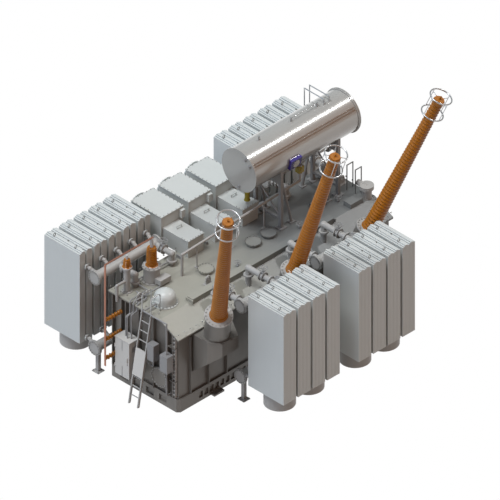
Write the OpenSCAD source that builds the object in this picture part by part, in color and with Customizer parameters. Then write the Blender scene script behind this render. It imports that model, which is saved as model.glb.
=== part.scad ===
// Oil-filled power transformer with three inclined high-voltage bushings.
// The origin is the middle of the underside of the base. X runs along the tank,
// Y runs from the high-voltage side to the low-voltage side, and Z is up.
// Places inside the modules are counted from the tank's corner at low X and low Y.

/* [Tank] */
// Length of the tank along X
tank_l = 8500; // [8300:50:9000]
// Width of the tank along Y
tank_w = 2650; // [2600:50:2900]
// Height of the cover's top above the ground
tank_h = 2950; // [2900:10:3100]
// Thickness of the tank wall
tank_wall = 20; // [12:1:30]
// Height of the base frame
base_h = 450; // [400:10:500]
// How far the base frame stands out from the tank wall
base_out = 60; // [30:5:100]
// How far the cover slopes down to the high-voltage side
shoulder_drop = 330; // [280:10:380]
// Width of the sloping part of the cover
shoulder_w = 650; // [550:10:700]
// Thickness of the cover
cover_t = 30; // [20:1:40]
// How far the rim flange stands out from the wall
rim_w = 90; // [60:5:120]
// Depth of the wall stiffeners
rib_d = 120; // [80:5:150]
// Thickness of the wall stiffeners
rib_t = 24; // [12:1:40]
// Width of one window in the base frame
window_w = 150; // [100:5:180]
// Height of one window in the base frame
window_h = 210; // [150:5:250]
// Distance between windows in the base frame
window_pitch = 215; // [200:5:260]

/* [High-voltage side] */
// Distance between phases along X
phase_pitch = 2800; // [2700:10:2850]
// Distance from the tank's end to the middle of the first pocket
pocket_x = 1170; // [1100:10:1250]
// Width of a pocket
pocket_w = 1280; // [1200:10:1400]
// How far a pocket stands out from the tank
pocket_out = 1030; // [1000:10:1060]
// Height of a pocket's flat top above the ground
pocket_top = 2480; // [2400:10:2500]
// Height of the pocket's upright front
pocket_front = 430; // [380:10:500]
// Height of the whole pocket at the tank wall
pocket_h = 1330; // [1200:10:1450]
// Outer diameter of a turret
turret_d = 760; // [700:10:780]
// Length of a turret along its axis
turret_len = 1050; // [900:10:1080]
// Distance from the tank wall to the middle of a turret's foot
turret_out = 560; // [540:5:580]
// Lean of each bushing away from the tank, in degrees
lean_out = 18.8; // [15:0.1:19]
// Lean of the two outer bushings along the tank, in degrees
lean_side = 14.6; // [10:0.1:16]
// Length of a bushing above its turret
bushing_len = 5100; // [4500:50:5400]
// Diameter over the sheds at a bushing's foot
bushing_d = 490; // [440:5:500]
// Diameter over the sheds at a bushing's top
bushing_top_d = 330; // [280:5:380]
// Distance between two sheds of a bushing
shed_pitch = 110; // [90:5:150]
// How far a shed stands out from the porcelain core
shed_out = 22; // [15:1:40]
// Diameter of a corona ring, measured at the middle of its tube
ring_d = 670; // [600:10:750]
// Diameter of a corona ring's tube
ring_tube = 44; // [30:1:60]
// Distance between the upper and the lower corona ring
ring_gap = 640; // [500:10:700]

/* [Radiators] */
// Width of one radiator along the tank
rad_w = 500; // [460:5:520]
// Length of one radiator's row of plates
rad_len = 1430; // [1300:10:1500]
// Height of the radiator plates
rad_h = 3160; // [3000:10:3300]
// Height of the radiators' underside above the ground
rad_z = 900; // [850:10:1000]
// Distance between radiators along the tank
rad_pitch = 590; // [570:5:620]
// Number of plates in a radiator
plates = 9; // [7:2:11]
// Thickness of a radiator plate
plate_t = 50; // [30:1:52]
// Rise of the two crests along the top of a radiator
rad_crest = 50; // [20:5:100]
// Diameter of the pipe through the radiator plates
rad_pipe_d = 130; // [100:5:150]
// Radiators in a high-voltage side bank
front_rads = 4; // [3:1:4]
// Radiators in a low-voltage side bank
back_rads = 5; // [4:1:5]
// Distance from the high-voltage wall to the radiators
front_bank_out = 1378; // [1370:2:1450]
// Distance from the low-voltage wall to the radiators
back_bank_out = 827; // [800:1:900]
// Distance from the high-voltage wall to its collector pipes
front_header_out = 870; // [850:5:900]
// Distance from the low-voltage wall to its collector pipes
back_header_out = 410; // [390:5:430]
// Start along X of the first and the second high-voltage side bank
front_bank_x = [1442, 4482];
// Start along X of the first and the second low-voltage side bank
back_bank_x = [-511, 6329];
// Diameter of the collector pipes
header_d = 300; // [250:10:340]
// Height of the upper collector pipes above the ground
header_top_z = 3330; // [3250:10:3400]
// Height of the lower collector pipes above the ground
header_low_z = 870; // [800:10:900]
// Diameter of a collector pipe's end flange
header_flange_d = 470; // [400:10:500]
// Width of a support post
post_w = 110; // [80:5:150]

/* [Fans] */
// Outer diameter of a fan duct
duct_d = 940; // [850:10:960]
// Height of a fan duct
duct_h = 510; // [450:10:560]
// Wall thickness of a fan duct
duct_wall = 8; // [4:1:12]
// Distance from the end of a bank to the middle of its fan
fan_inset = 560; // [520:10:600]
// Diameter over the fan blades
blade_d = 860; // [780:10:870]
// Width of one fan blade
blade_w = 150; // [100:5:180]
// Pitch of the fan blades, in degrees
blade_pitch = 28; // [15:1:35]
// Number of blades of a fan
blades = 6; // [4:1:8]
// Diameter of a fan's hub
hub_d = 200; // [160:5:240]
// Height of a fan's hub
hub_h = 90; // [70:5:110]
// Diameter of a fan motor
motor_d = 190; // [150:5:220]
// Height of a fan motor
motor_h = 200; // [150:5:220]
// Diameter of a fan motor's shaft
shaft_d = 38; // [28:1:48]

/* [Low-voltage side] */
// Start along X of the first low-voltage hood
lv_x = 2560; // [2500:10:2600]
// Distance between the low-voltage hoods
lv_pitch = 1100; // [1050:10:1150]
// Width of a low-voltage hood
lv_w = 865; // [800:5:900]
// Distance from the low-voltage wall to the high part of a hood
lv_high_out = 600; // [550:10:650]
// Length of the high part of a hood
lv_high_l = 1200; // [1000:10:1300]
// Height of a hood's lid above the ground
lv_top_z = 3900; // [3800:10:4000]
// Height of the high part of a hood
lv_high_h = 1000; // [800:10:1050]
// Height of the low part of a hood above the cover
lv_low_h = 560; // [450:10:600]
// Length of the low part of a hood that lies over the tank
lv_low_in = 420; // [350:10:450]
// Width of the low part of a hood
lv_low_w = 625; // [500:5:640]
// Diameter of the busbar duct flange of a hood
lv_flange_d = 800; // [700:10:820]

/* [Conservator] */
// Diameter of the conservator
cons_d = 1340; // [1200:10:1400]
// Length of the conservator's shell
cons_l = 4200; // [4000:50:4400]
// Start along X of the conservator's shell
cons_x = 4400; // [4300:10:4500]
// Distance from the high-voltage wall to the conservator's axis
cons_y = 1950; // [1900:10:1960]
// Height of the conservator's axis above the ground
cons_z = 5280; // [5200:10:5400]
// Distance from the conservator's end to its first trestle
trestle_in = 1180; // [1100:10:1300]
// Distance between the two trestles
trestle_gap = 2310; // [2200:10:2400]
// Distance between the feet of a trestle across the tank
trestle_w = 1020; // [900:10:1080]
// Width of a trestle's posts
trestle_post = 100; // [80:5:120]

/* [Inner parts] */
// Thickness of the core's yokes across the tank
core_d = 760; // [700:10:800]
// Distance between the core's limbs as a share of the tank's length
limb_share = 0.3294; // [0.32:0.0002:0.335]
// Height of the core's yokes
yoke_h = 450; // [400:10:480]
// Height of the windings between the yokes
winding_h = 1380; // [1300:10:1400]
// Outer diameter of a winding
winding_d = 2150; // [2000:10:2200]
// Distance from the high-voltage wall to the core's middle
core_y = 1400; // [1380:10:1420]

/* [Fittings] */
// Diameter of the tap changer's head
tap_d = 640; // [560:10:700]
// Height of the tap changer's head above the cover
tap_h = 450; // [300:10:500]
// Height of the neutral turret
neutral_h = 520; // [400:10:600]
// Length of the neutral bushing
neutral_len = 950; // [800:10:1100]
// Height of the small turret beside the neutral
small_turret_h = 830; // [700:10:900]
// Length of the small bushing
small_len = 420; // [350:10:500]
// Width of the earthing bar
bar_w = 60; // [40:5:80]
// Thickness of the earthing bar
bar_t = 20; // [10:1:30]
// Height of the control cabinet
cabinet_h = 1290; // [1100:10:1400]
// Width of the control cabinet
cabinet_w = 560; // [480:10:600]
// Depth of the control cabinet
cabinet_d = 360; // [300:10:400]
// Distance between the ladder's rungs
rung_pitch = 300; // [270:5:330]
// Width of the ladder
ladder_w = 400; // [350:10:450]
// Diameter of the oil pipe above the cover
oil_pipe_d = 80; // [60:5:100]
// Diameter of the round hatches
hatch_d = 410; // [350:10:450]

/* [Hidden] */

$fn = 48;
// Size of a cast elbow against its pipe
elbow = 1.14;
// Overlap that joins the shapes of one solid
eps = 1;
// Running clearance between a fan's hub and its shaft
run_gap = 0.05;
// Clearance between pieces that lie loosely against each other
loose = 0.3;

paint = [0.72, 0.74, 0.73];
pale = [0.86, 0.87, 0.82];
porcelain = [0.62, 0.36, 0.10];
steel = [0.55, 0.56, 0.58];
copper = [0.66, 0.40, 0.33];

// Height of the cover's underside
cover_z = tank_h - cover_t;
// Slope of the cover's shoulder
shoulder_slope = shoulder_drop / shoulder_w;
rim_t = cover_t;
limb_pitch = limb_share * tank_l;
floor_z = base_h + tank_wall;
pocket_low = pocket_top - pocket_h;
lean_y = -tan(lean_out);
lean_x = [-tan(lean_side), 0, tan(lean_side)];
turret_in = 180;
turret_flange_t = 40;
turret_flange_d = turret_d + 80;
foot_t = 30;
rad_top = rad_z + rad_h;
rad_pipe_low = rad_z + rad_pipe_d;
rad_pipe_top = rad_top - rad_crest - rad_pipe_d;
rad_pipe_y = 110;
// Slot in the tank end of a radiator's middle plate, and the riser in it
slot_l = 150;
riser_d = 60;
rad_stub_z = header_top_z + 170;
// Pipes between a bank's upper collector and the tank
tie_in = 300;
tie_d = 180;
tie_flange_d = 300;
stub_l = 90;
stub_d = 110;
stub_flange_t = 20;
stub_flange_d = 200;
// Length of the straight pipe between a radiator flange and its elbow
elbow_in = 90;

// Places a shape that is drawn from the tank's corner
module from_corner() translate([-tank_l / 2, -tank_w / 2, 0]) children();

// Extrudes a Y-Z outline along X
module along_x(start, length) translate([start, 0, 0]) rotate([90, 0, 90])
    linear_extrude(length) children();

// A round bar between two points
module rod(a, b, d) {
    v = b - a;
    translate(a) rotate([0, acos(v[2] / norm(v)), atan2(v[1], v[0])])
        cylinder(d = d, h = norm(v));
}

// A round bar through several points, with a ball at each inner bend
module pipe_run(points, d) {
    for (i = [0 : len(points) - 2]) rod(points[i], points[i + 1], d);
    if (len(points) > 2)
        for (i = [1 : len(points) - 2]) translate(points[i]) sphere(d = elbow * d);
}

// Tilts a shape from Z onto the axis of bushing i
module on_bushing_axis(i) {
    d = [lean_x[i], lean_y, 1];
    rotate([acos(1 / norm(d)), 0, atan2(d[0], -d[1])]) children();
}

// Places of the ribs on the two ends
end_ribs = [330, 900, 1500, 2020, 2200, 2560];
// Beam on the cover
beam_x = 1150;
beam_y = 560;
beam_l = 5700;
beam_w = 230;
beam_h = 130;

// Outline of the tank across, pulled in by e
function tank_section(e, top) = [[e, floor_z - tank_wall + e], [tank_w - e, floor_z - tank_wall + e],
    [tank_w - e, cover_z + top], [shoulder_w, cover_z + top],
    [e, cover_z - shoulder_slope * (shoulder_w - e) + top]];

// Bent strip that follows the cover, from height drop under it and t thick
function cover_strip(drop, t) = let(za = cover_z - shoulder_slope * (shoulder_w + rim_w))
    [[-rim_w, za - drop], [shoulder_w, cover_z - drop], [tank_w + rim_w, cover_z - drop],
     [tank_w + rim_w, cover_z - drop + t], [shoulder_w, cover_z - drop + t], [-rim_w, za - drop + t]];

// Outline of a pocket from above, pulled in by e, with its back at y
function pocket_plan(e, back) = [[-pocket_w / 2 + e, back], [-pocket_w / 2 + e, -0.62 * pocket_out + e / 2],
    [-0.39 * pocket_out + e / 2, -0.98 * pocket_out + e], [0.22 * pocket_out - e / 2, -pocket_out + e],
    [pocket_w / 2 - e, -0.36 * pocket_out + e / 2], [pocket_w / 2 - e, back]];

// One pocket of the high-voltage wall, pulled in by e
module pocket(e, back) intersection() {
    translate([pocket_x, 0, 0]) linear_extrude(pocket_top - e) polygon(pocket_plan(e, back));
    along_x(pocket_x - pocket_w, 2 * pocket_w)
        polygon([[back, pocket_low + 1.4 * e], [0, pocket_low + 1.4 * e],
            [-pocket_out - eps, pocket_top - pocket_front + 1.4 * e],
            [-pocket_out - eps, pocket_top - e], [back, pocket_top - e]]);
}

module base_windows() {
    count = floor((tank_l - 1400) / window_pitch);
    for (i = [0 : count - 1])
        translate([780 + i * window_pitch, -base_out - eps, (base_h - window_h) / 2])
            cube([window_w, base_out - 10, window_h]);
    for (i = [0 : 3])
        translate([-base_out - eps, 420 + i * 520, (base_h - window_h) / 2])
            cube([base_out - 10, 300, window_h]);
}

// Upright stiffeners, each between the base and the rim
module stiffeners() {
    end_top = cover_z - rim_t;
    for (y = end_ribs, x = [-rib_d, tank_l])
        translate([x, y - rib_t / 2, base_h]) cube([rib_d, rib_t, min(end_top, cover_z - rim_t
            - shoulder_slope * max(0, shoulder_w - y)) - base_h]);
    for (i = [0 : 2], dx = [-pocket_w / 2 - 90, 0, pocket_w / 2 + 90])
        translate([pocket_x + i * phase_pitch + dx - rib_t / 2, -rim_w + 10, base_h])
            cube([rib_t, rim_w - 10, (dx == 0 ? pocket_low : pocket_top - 40) - base_h]);
    // Level plates between the near corner and the first rib
    for (z = [1040, 2210]) translate([-rib_d, 20, z]) cube([rib_d, end_ribs[0] - 20, 20]);
    for (x = [400 : 770 : tank_l - 200])
        translate([x - rib_t / 2, tank_w, base_h]) cube([rib_t, rib_d, cover_z - rim_t - base_h]);
}

// Jacking pads at the foot of the long sides
pad_x = 1460;
pad_l = 400;
pad_out = 140;
pad_h = 60;

module tank() color(paint) from_corner() difference() {
    union() {
        translate([-base_out, -base_out, 0]) cube([tank_l + 2 * base_out, tank_w + 2 * base_out, base_h]);
        along_x(0, tank_l) polygon(tank_section(0, 0));
        along_x(-rim_w, tank_l + 2 * rim_w) polygon(cover_strip(rim_t, rim_t));
        for (i = [0 : 2]) translate([i * phase_pitch, 0, 0]) pocket(0, eps);
        stiffeners();
        for (x = [pad_x, tank_l - pad_x], y = [-base_out - pad_out, tank_w + base_out - eps])
            translate([x - pad_l / 2, y, 0]) cube([pad_l, pad_out + eps, pad_h]);
        translate([-150, 600, 1000]) rotate([0, 90, 0]) cylinder(d = 600, h = 150);
        translate([-175, 600, 1000]) rotate([0, 90, 0]) cylinder(d = 660, h = 40);
    }
    along_x(tank_wall, tank_l - 2 * tank_wall) polygon(tank_section(tank_wall, 200));
    for (i = [0 : 2]) translate([i * phase_pitch, 0, 0]) pocket(tank_wall, tank_wall + eps);
    for (i = [0 : 2]) translate([pocket_x - turret_in + i * phase_pitch, -turret_out, pocket_top])
        on_bushing_axis(i) translate([0, 0, -200]) cylinder(d = turret_d - 2 * tank_wall, h = 400);
    base_windows();
    translate([0, 0, -eps]) for (x = [-base_out, tank_l + base_out], y = [-base_out, tank_w + base_out])
        translate([x, y, 0]) rotate(45) translate([-60, -60, 0]) cube([120, 120, base_h + 2 * eps]);
}

module tank_cover() color(pale) from_corner() difference() {
    union() {
        along_x(-rim_w, tank_l + 2 * rim_w) polygon(cover_strip(0, cover_t));
        // Stiffening beam along the cover, with its end plates
        translate([beam_x, beam_y, cover_z + eps]) cube([beam_l, beam_w, cover_t + beam_h]);
        for (x = [beam_x - 40, beam_x + beam_l]) translate([x, beam_y - 30, cover_z + eps])
            cube([40, beam_w + 60, cover_t + beam_h - 30]);
    }
    translate([tap_x, tap_y, cover_z - eps]) cylinder(d = tap_barrel_d + 2 * loose, h = cover_t + 2 * eps);
}

// The three limbs and two yokes, stepped as the stacked sheets are
module core() color(steel) from_corner() {
    low = floor_z;
    high = low + yoke_h + winding_h;
    steps = [[1, 0.45], [0.82, 0.75], [0.6, 0.95]];
    for (s = steps) {
        for (z = [low, high])
            translate([limb_x(0) - core_d / 2, core_y - s[0] * core_d / 2, z])
                cube([2 * limb_pitch + core_d, s[0] * core_d, yoke_h]);
        for (i = [0 : 2])
            translate([limb_x(i) - s[1] * core_d / 2, core_y - s[0] * core_d / 2, low])
                cube([s[1] * core_d, s[0] * core_d, 2 * yoke_h + winding_h]);
    }
}

function limb_x(i) = tank_l / 2 + (i - 1) * limb_pitch;

module core_clamps() color([0.4, 0.42, 0.45]) from_corner()
    for (y = [core_y - core_d / 2 - 60 - loose, core_y + core_d / 2 + loose],
         z = [floor_z, floor_z + yoke_h + winding_h])
        translate([limb_x(0) - core_d / 2, y, z])
            cube([2 * limb_pitch + core_d, 60, yoke_h]);

module winding(i) color(copper) from_corner()
    translate([limb_x(i), core_y, floor_z + yoke_h]) difference() {
        cylinder(d = winding_d, h = winding_h);
        translate([0, 0, -eps]) cylinder(d = 1.2 * core_d, h = winding_h + 2 * eps);
    }

module at_turret(i) from_corner()
    translate([pocket_x - turret_in + i * phase_pitch, -turret_out, pocket_top]) children();

module hv_turret(i) color(paint) at_turret(i) difference() {
    union() {
        on_bushing_axis(i) {
            translate([0, 0, -250]) cylinder(d = turret_d, h = turret_len + 250);
            translate([0, 0, turret_len - turret_flange_t])
                cylinder(d = turret_flange_d, h = turret_flange_t);
        }
        cylinder(d = turret_d + 160, h = foot_t);
    }
    on_bushing_axis(i) translate([0, 0, -600]) cylinder(d = turret_d - 2 * tank_wall, h = turret_len + 650);
    translate([-turret_d, -turret_d, -600]) cube([2 * turret_d, 2 * turret_d, 600]);
}

// Half outline of a shedded bushing: n sheds from r0 at height a to r1 at height b
function shed_points(n, a, b, r0, r1) = [for (k = [0 : n - 1], p = [0 : 2])
    let(t = (k + [0.15, 0.5, 0.95][p]) / n, r = r0 + (r1 - r0) * t)
    [r - (p == 1 ? 0 : shed_out), a + (b - a) * t]];

module hv_bushing(i) color(porcelain) at_turret(i) on_bushing_axis(i) translate([0, 0, turret_len]) {
    collar = 160;
    head = 150;
    n = round((bushing_len - collar - head) / shed_pitch);
    rotate_extrude() polygon(concat(
        [[0, -700], [110, -700], [130, 0], [turret_flange_d / 2, 0], [turret_flange_d / 2, 36],
         [bushing_d / 2 + 40, 36], [bushing_d / 2 + 10, 80], [bushing_d / 2 + 10, collar - 20]],
        [[bushing_d / 2 - shed_out, collar]],
        shed_points(n, collar, bushing_len - head, bushing_d / 2, bushing_top_d / 2),
        [[bushing_top_d / 2 + 8, bushing_len - head + 10], [bushing_top_d / 2 + 8, bushing_len - 20],
         [bushing_top_d / 2 - 12, bushing_len], [0, bushing_len]]));
    translate([0, 0, bushing_len - eps]) cylinder(d = 60, h = 130);
}

module corona_ring(i) color(paint) at_turret(i) on_bushing_axis(i)
    translate([0, 0, turret_len + bushing_len]) {
    low = 120 - ring_gap;
    for (z = [low, 120]) translate([0, 0, z]) rotate_extrude($fn = 96)
        translate([ring_d / 2, 0]) circle(d = ring_tube, $fn = 24);
    for (a = [45 : 90 : 315]) rotate(a) {
        translate([ring_d / 2, 0, low]) cylinder(d = ring_tube / 2, h = ring_gap, $fn = 24);
        translate([60, 0, 14]) rotate([0, 90, 0])
            cylinder(d = ring_tube / 2, h = ring_d / 2 - 60, $fn = 24);
    }
    difference() {
        cylinder(d = bushing_top_d - 40, h = 28);
        translate([0, 0, -eps]) cylinder(d = 60 + 2 * loose, h = 30 + eps);
    }
}

// Bank b: its start along X, its number of radiators and its side
function bank_x(b) = b < 2 ? front_bank_x[b] : back_bank_x[b - 2];
function bank_n(b) = b < 2 ? front_rads : back_rads;
function bank_out(b) = b < 2 ? front_bank_out : back_bank_out;
function header_out(b) = b < 2 ? front_header_out : back_header_out;
function bank_len(b) = (bank_n(b) - 1) * rad_pitch + rad_w;
function rad_x(b, k) = bank_x(b) + rad_w / 2 + k * rad_pitch;
// Ends of a bank's upper collector pipe
function header_a(b) = bank_x(b) + 165;
function header_b(b) = bank_x(b) + bank_len(b) - (b < 2 ? 460 : 150);

// Draws a bank's shapes with Y counted outwards from the tank wall
module bank_side(b) from_corner() {
    if (b < 2) mirror([0, 1, 0]) children();
    else translate([0, tank_w, 0]) children();
}

// Rise of plate i over the lowest one, with two crests across a radiator
function plate_rise(i) = rad_crest * (1 - abs((4 * i / (plates - 1)) % 2 - 1));

module radiator() {
    pitch = (rad_w - plate_t) / (plates - 1);
    middle = (plates - 1) / 2;
    for (i = [0 : plates - 1]) {
        back = abs(i - middle) < 0.6 ? slot_l : 0;
        translate([-rad_w / 2 + i * pitch, back, rad_z])
            cube([plate_t, rad_len - back, rad_h - rad_crest + plate_rise(i)]);
    }
    // Pipes through the plates, and the riser in the slot
    for (z = [rad_pipe_low, rad_pipe_top])
        translate([-rad_w / 2 + 8, rad_pipe_y, z]) rotate([0, 90, 0])
            cylinder(d = rad_pipe_d, h = rad_w - 16);
    translate([0, rad_pipe_y, rad_stub_z]) cylinder(d = riser_d, h = rad_pipe_top - rad_stub_z);
    for (z = [rad_pipe_low, rad_stub_z]) {
        translate([0, rad_pipe_y, z]) rotate([90, 0, 0]) cylinder(d = stub_d, h = rad_pipe_y + stub_l - 20);
        translate([0, 20 - stub_l + stub_flange_t, z]) rotate([90, 0, 0])
            cylinder(d = stub_flange_d, h = stub_flange_t);
    }
}

module radiators(b) color(paint) bank_side(b)
    for (k = [0 : bank_n(b) - 1]) translate([rad_x(b, k), bank_out(b), 0]) radiator();

// Blank flange with its pipe end, at low X
module end_flange(x, y, z) translate([x, y, z]) rotate([0, 90, 0]) {
    cylinder(d = header_flange_d, h = 36);
    translate([0, 0, 44]) cylinder(d = header_flange_d, h = 36);
}

module headers(b) color(paint) bank_side(b) {
    y = header_out(b);
    xa = header_a(b);
    xb = header_b(b);
    far_b = bank_x(b) + bank_len(b) - 100;
    face_y = bank_out(b) + 20 - stub_l;
    for (z = [header_low_z, header_top_z]) {
        xe = z == header_top_z ? xb : far_b;
        end_flange(xa, y, z);
        translate([xa + 10, y, z]) rotate([0, 90, 0]) cylinder(d = header_d, h = xe - xa - 30);
        translate([xe - 40, y, z]) rotate([0, 90, 0]) cylinder(d = header_flange_d, h = 40);
    }
    for (k = [0 : bank_n(b) - 1]) {
        x = rad_x(b, k);
        xc = min(max(x, xa + 200), xb - 160);
        for (level = [[rad_stub_z, header_top_z + 30, xc], [rad_pipe_low, header_low_z + 30, x]]) {
            translate([x, face_y, level[0]]) rotate([90, 0, 0])
                cylinder(d = stub_flange_d, h = stub_flange_t);
            pipe_run([[x, face_y - 2, level[0]], [x, face_y - elbow_in, level[0]],
                [level[2], y + 60, level[1]]], stub_d);
        }
    }
    // Pipes from the collector to the tank
    for (x = tie_x(b)) {
        zc = b < 2 ? cover_z - shoulder_slope * (shoulder_w - tie_in) + cover_t : tank_h;
        joint_y = y - 260;
        translate([x, y - 70, header_top_z]) rotate([90, 0, 0]) cylinder(d = tie_d, h = 190);
        translate([x, joint_y + 25, header_top_z]) rotate([90, 0, 0]) cylinder(d = tie_flange_d, h = 25);
        translate([x, joint_y - loose, header_top_z]) rotate([90, 0, 0]) cylinder(d = tie_flange_d, h = 25);
        difference() {
            pipe_run([[x, joint_y - loose, header_top_z], [x, -tie_in, header_top_z],
                [x, -tie_in, zc - (b < 2 ? tie_d / 2 : 0)]], tie_d);
            // The foot is cut to the cover's slope
            if (b < 2) along_x(x - tie_d, 2 * tie_d) polygon([for (p = [[-1, 0], [1, 0], [1, -2], [-1, -2]])
                [p[0] * tie_d - tie_in, zc + loose + (p[1] - p[0] * shoulder_slope) * tie_d]]);
        }
        translate([x, -tie_in, header_top_z - 260]) cylinder(d = tie_flange_d, h = 50);
        if (b >= 2) translate([x, loose, header_low_z]) rotate([-90, 0, 0]) cylinder(d = tie_d, h = y - 80);
    }
    for (x = [xa + 170, far_b - 170]) {
        difference() {
            translate([x - post_w / 2, y - post_w / 2, 0]) cube([post_w, post_w, header_low_z - 60]);
            translate([x - post_w, y, header_low_z]) rotate([0, 90, 0])
                cylinder(d = header_d + 2 * loose, h = 2 * post_w);
        }
        translate([x - 130, y - 130, 0]) cube([260, 260, 24]);
    }
}
// Places along X of the pipes between a bank's collector and the tank
function tie_x(b) = [max(header_a(b) + 200, 600), min(header_b(b) - 120, tank_l - 250)];

// Fan f: its bank and its middle along X
function fan_bank(f) = floor(f / 2);
function fan_x(f) = let(b = fan_bank(f))
    f % 2 == 0 ? bank_x(b) + fan_inset : bank_x(b) + bank_len(b) - fan_inset;
motor_z = rad_z - 60 - motor_h;
hub_z = motor_z - hub_h - loose;

module at_fan(f) bank_side(fan_bank(f))
    translate([fan_x(f), bank_out(fan_bank(f)) + rad_len / 2, 0]) children();

module fan_duct() {
    low = rad_z - duct_h;
    difference() {
        union() {
            translate([0, 0, low]) cylinder(d = duct_d, h = duct_h, $fn = 96);
            translate([0, 0, rad_z - 12]) cylinder(d = duct_d + 60, h = 12, $fn = 96);
        }
        translate([0, 0, low - eps]) cylinder(d = duct_d - 2 * duct_wall, h = duct_h + 2 * eps, $fn = 96);
    }
    // Motor hung on four flat arms
    for (a = [0 : 90 : 270]) rotate(a) translate([motor_d / 2 - 5, -6, motor_z + 60])
        cube([(duct_d - motor_d) / 2 - duct_wall + 8, 12, 70]);
    translate([0, 0, motor_z]) cylinder(d = motor_d, h = motor_h);
    translate([0, 0, hub_z - 20]) cylinder(d = shaft_d, h = 20 + hub_h + 40);
    translate([0, 0, hub_z - 20]) cylinder(d = shaft_d + 20, h = 20 - loose);
    // Flat guard under the blades
    for (share = [0.2 : 0.14 : 0.9]) difference() {
        translate([0, 0, low]) cylinder(d = share * duct_d + 8, h = 8);
        translate([0, 0, low - eps]) cylinder(d = share * duct_d - 8, h = 8 + 2 * eps);
    }
    for (a = [0 : 45 : 135]) rotate(a) translate([-duct_d / 2 + 5, -5, low]) cube([duct_d - 10, 10, 8]);
}

module fan_ducts(b) color(paint) for (f = [2 * b, 2 * b + 1]) at_fan(f) fan_duct();

module fan_rotor(f) color([0.35, 0.36, 0.38]) at_fan(f) translate([0, 0, hub_z]) difference() {
    union() {
        cylinder(d = hub_d, h = hub_h);
        for (a = [0 : 360 / blades : 359]) rotate(a) translate([hub_d / 2 - 15, 0, hub_h / 2])
            rotate([blade_pitch, 0, 0]) translate([0, -blade_w / 2, -3])
                cube([(blade_d - hub_d) / 2, blade_w, 6]);
    }
    translate([0, 0, -eps]) cylinder(d = shaft_d + 2 * run_gap, h = hub_h + 2 * eps);
}

module lv_hood(i) color(paint) from_corner() translate([lv_x + i * lv_pitch, 0, 0]) {
    high_y = tank_w + lv_high_out;
    low_top = tank_h + lv_low_h;
    wall = 10;
    high_low = lv_top_z - lv_high_h;
    // Low part over the tank and the wall
    translate([60, tank_w - lv_low_in, tank_h]) cube([lv_low_w, lv_low_in + lv_high_out, lv_low_h]);
    translate([60 - 20, tank_w - lv_low_in - 20, low_top]) cube([lv_low_w + 40, 0.7 * lv_low_in, 30]);
    // High part, with its lid
    translate([0, high_y, high_low]) cube([lv_w, lv_high_l, lv_high_h - 30]);
    translate([-20, high_y - 20, lv_top_z - 30]) cube([lv_w + 40, lv_high_l + 40, 30]);
    translate([lv_w - 150, high_y - 110, lv_top_z - 330]) cube([150, 110 + wall, 250]);
    // Handle on the low part
    translate([0.35 * lv_w, tank_w + 0.45 * lv_high_out, low_top]) {
        for (x = [0, 180]) translate([x, 0, 0]) cylinder(d = 24, h = 80);
        translate([-20, -12, 70]) cube([220, 24, 24]);
    }
    // Busbar duct flange at the far end
    translate([lv_w / 2, high_y + lv_high_l, lv_top_z - lv_flange_d / 2 - 60]) rotate([-90, 0, 0]) {
        cylinder(d = lv_flange_d - 80, h = 160);
        translate([0, 0, 130]) cylinder(d = lv_flange_d, h = 30);
    }
    // Bracket down to the tank wall
    translate([lv_w / 2 - 60, tank_w, tank_h - 500]) cube([120, lv_high_out + 20, 20]);
}

module conservator() color(pale) from_corner() translate([cons_x, cons_y, cons_z]) {
    rotate([0, 90, 0]) {
        cylinder(d = cons_d, h = cons_l, $fn = 128);
        // Rims at the two ends
        for (z = [0, cons_l - 40]) translate([0, 0, z]) cylinder(d = cons_d + 50, h = 40, $fn = 128);
        translate([0, 0, cons_l]) cylinder(d = cons_d + 80, h = 30, $fn = 128);
    }
    // Oil connection under the shell
    translate([relay_x - cons_x, relay_y - cons_y, relay_top - cons_z]) {
        cylinder(d = oil_pipe_d, h = cons_d / 2);
        cylinder(d = 2 * oil_pipe_d, h = 24);
    }
}

// Distance from a trestle's post to the foot of its slanted leg
brace_out = 420;

module conservator_trestles() color(steel) from_corner()
    for (x = [cons_x + trestle_in, cons_x + trestle_in + trestle_gap]) difference() {
        union() {
            for (s = [-1, 1]) {
                y = cons_y + s * trestle_w / 2;
                translate([x - trestle_post / 2, y - trestle_post / 2, tank_h])
                    cube([trestle_post, trestle_post, cons_z - tank_h - 0.15 * cons_d]);
                translate([x - 130, y - 130, tank_h]) cube([260, 260, 24]);
                // Slanted leg along the tank
                foot_x = x + (x < relay_x ? 1 : -1) * brace_out;
                rod([foot_x, y, tank_h + 10], [x, y, cons_z - 0.45 * cons_d], 80);
                translate([foot_x - 100, y - 90, tank_h]) cube([200, 180, 24]);
            }
            translate([x - 40, cons_y - trestle_w / 2, tank_h + 260]) cube([80, trestle_w, 80]);
            rod([x, cons_y - trestle_w / 2, tank_h + 340], [x, cons_y + trestle_w / 2, tank_h + 1300], 50);
            translate([x - trestle_post / 2, cons_y - trestle_w / 2, cons_z - cons_d / 2 - 160])
                cube([trestle_post, trestle_w, 330]);
        }
        translate([x - 1000, cons_y, cons_z]) rotate([0, 90, 0])
            cylinder(d = cons_d + 2 * loose, h = 2000, $fn = 128);
    }

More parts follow.
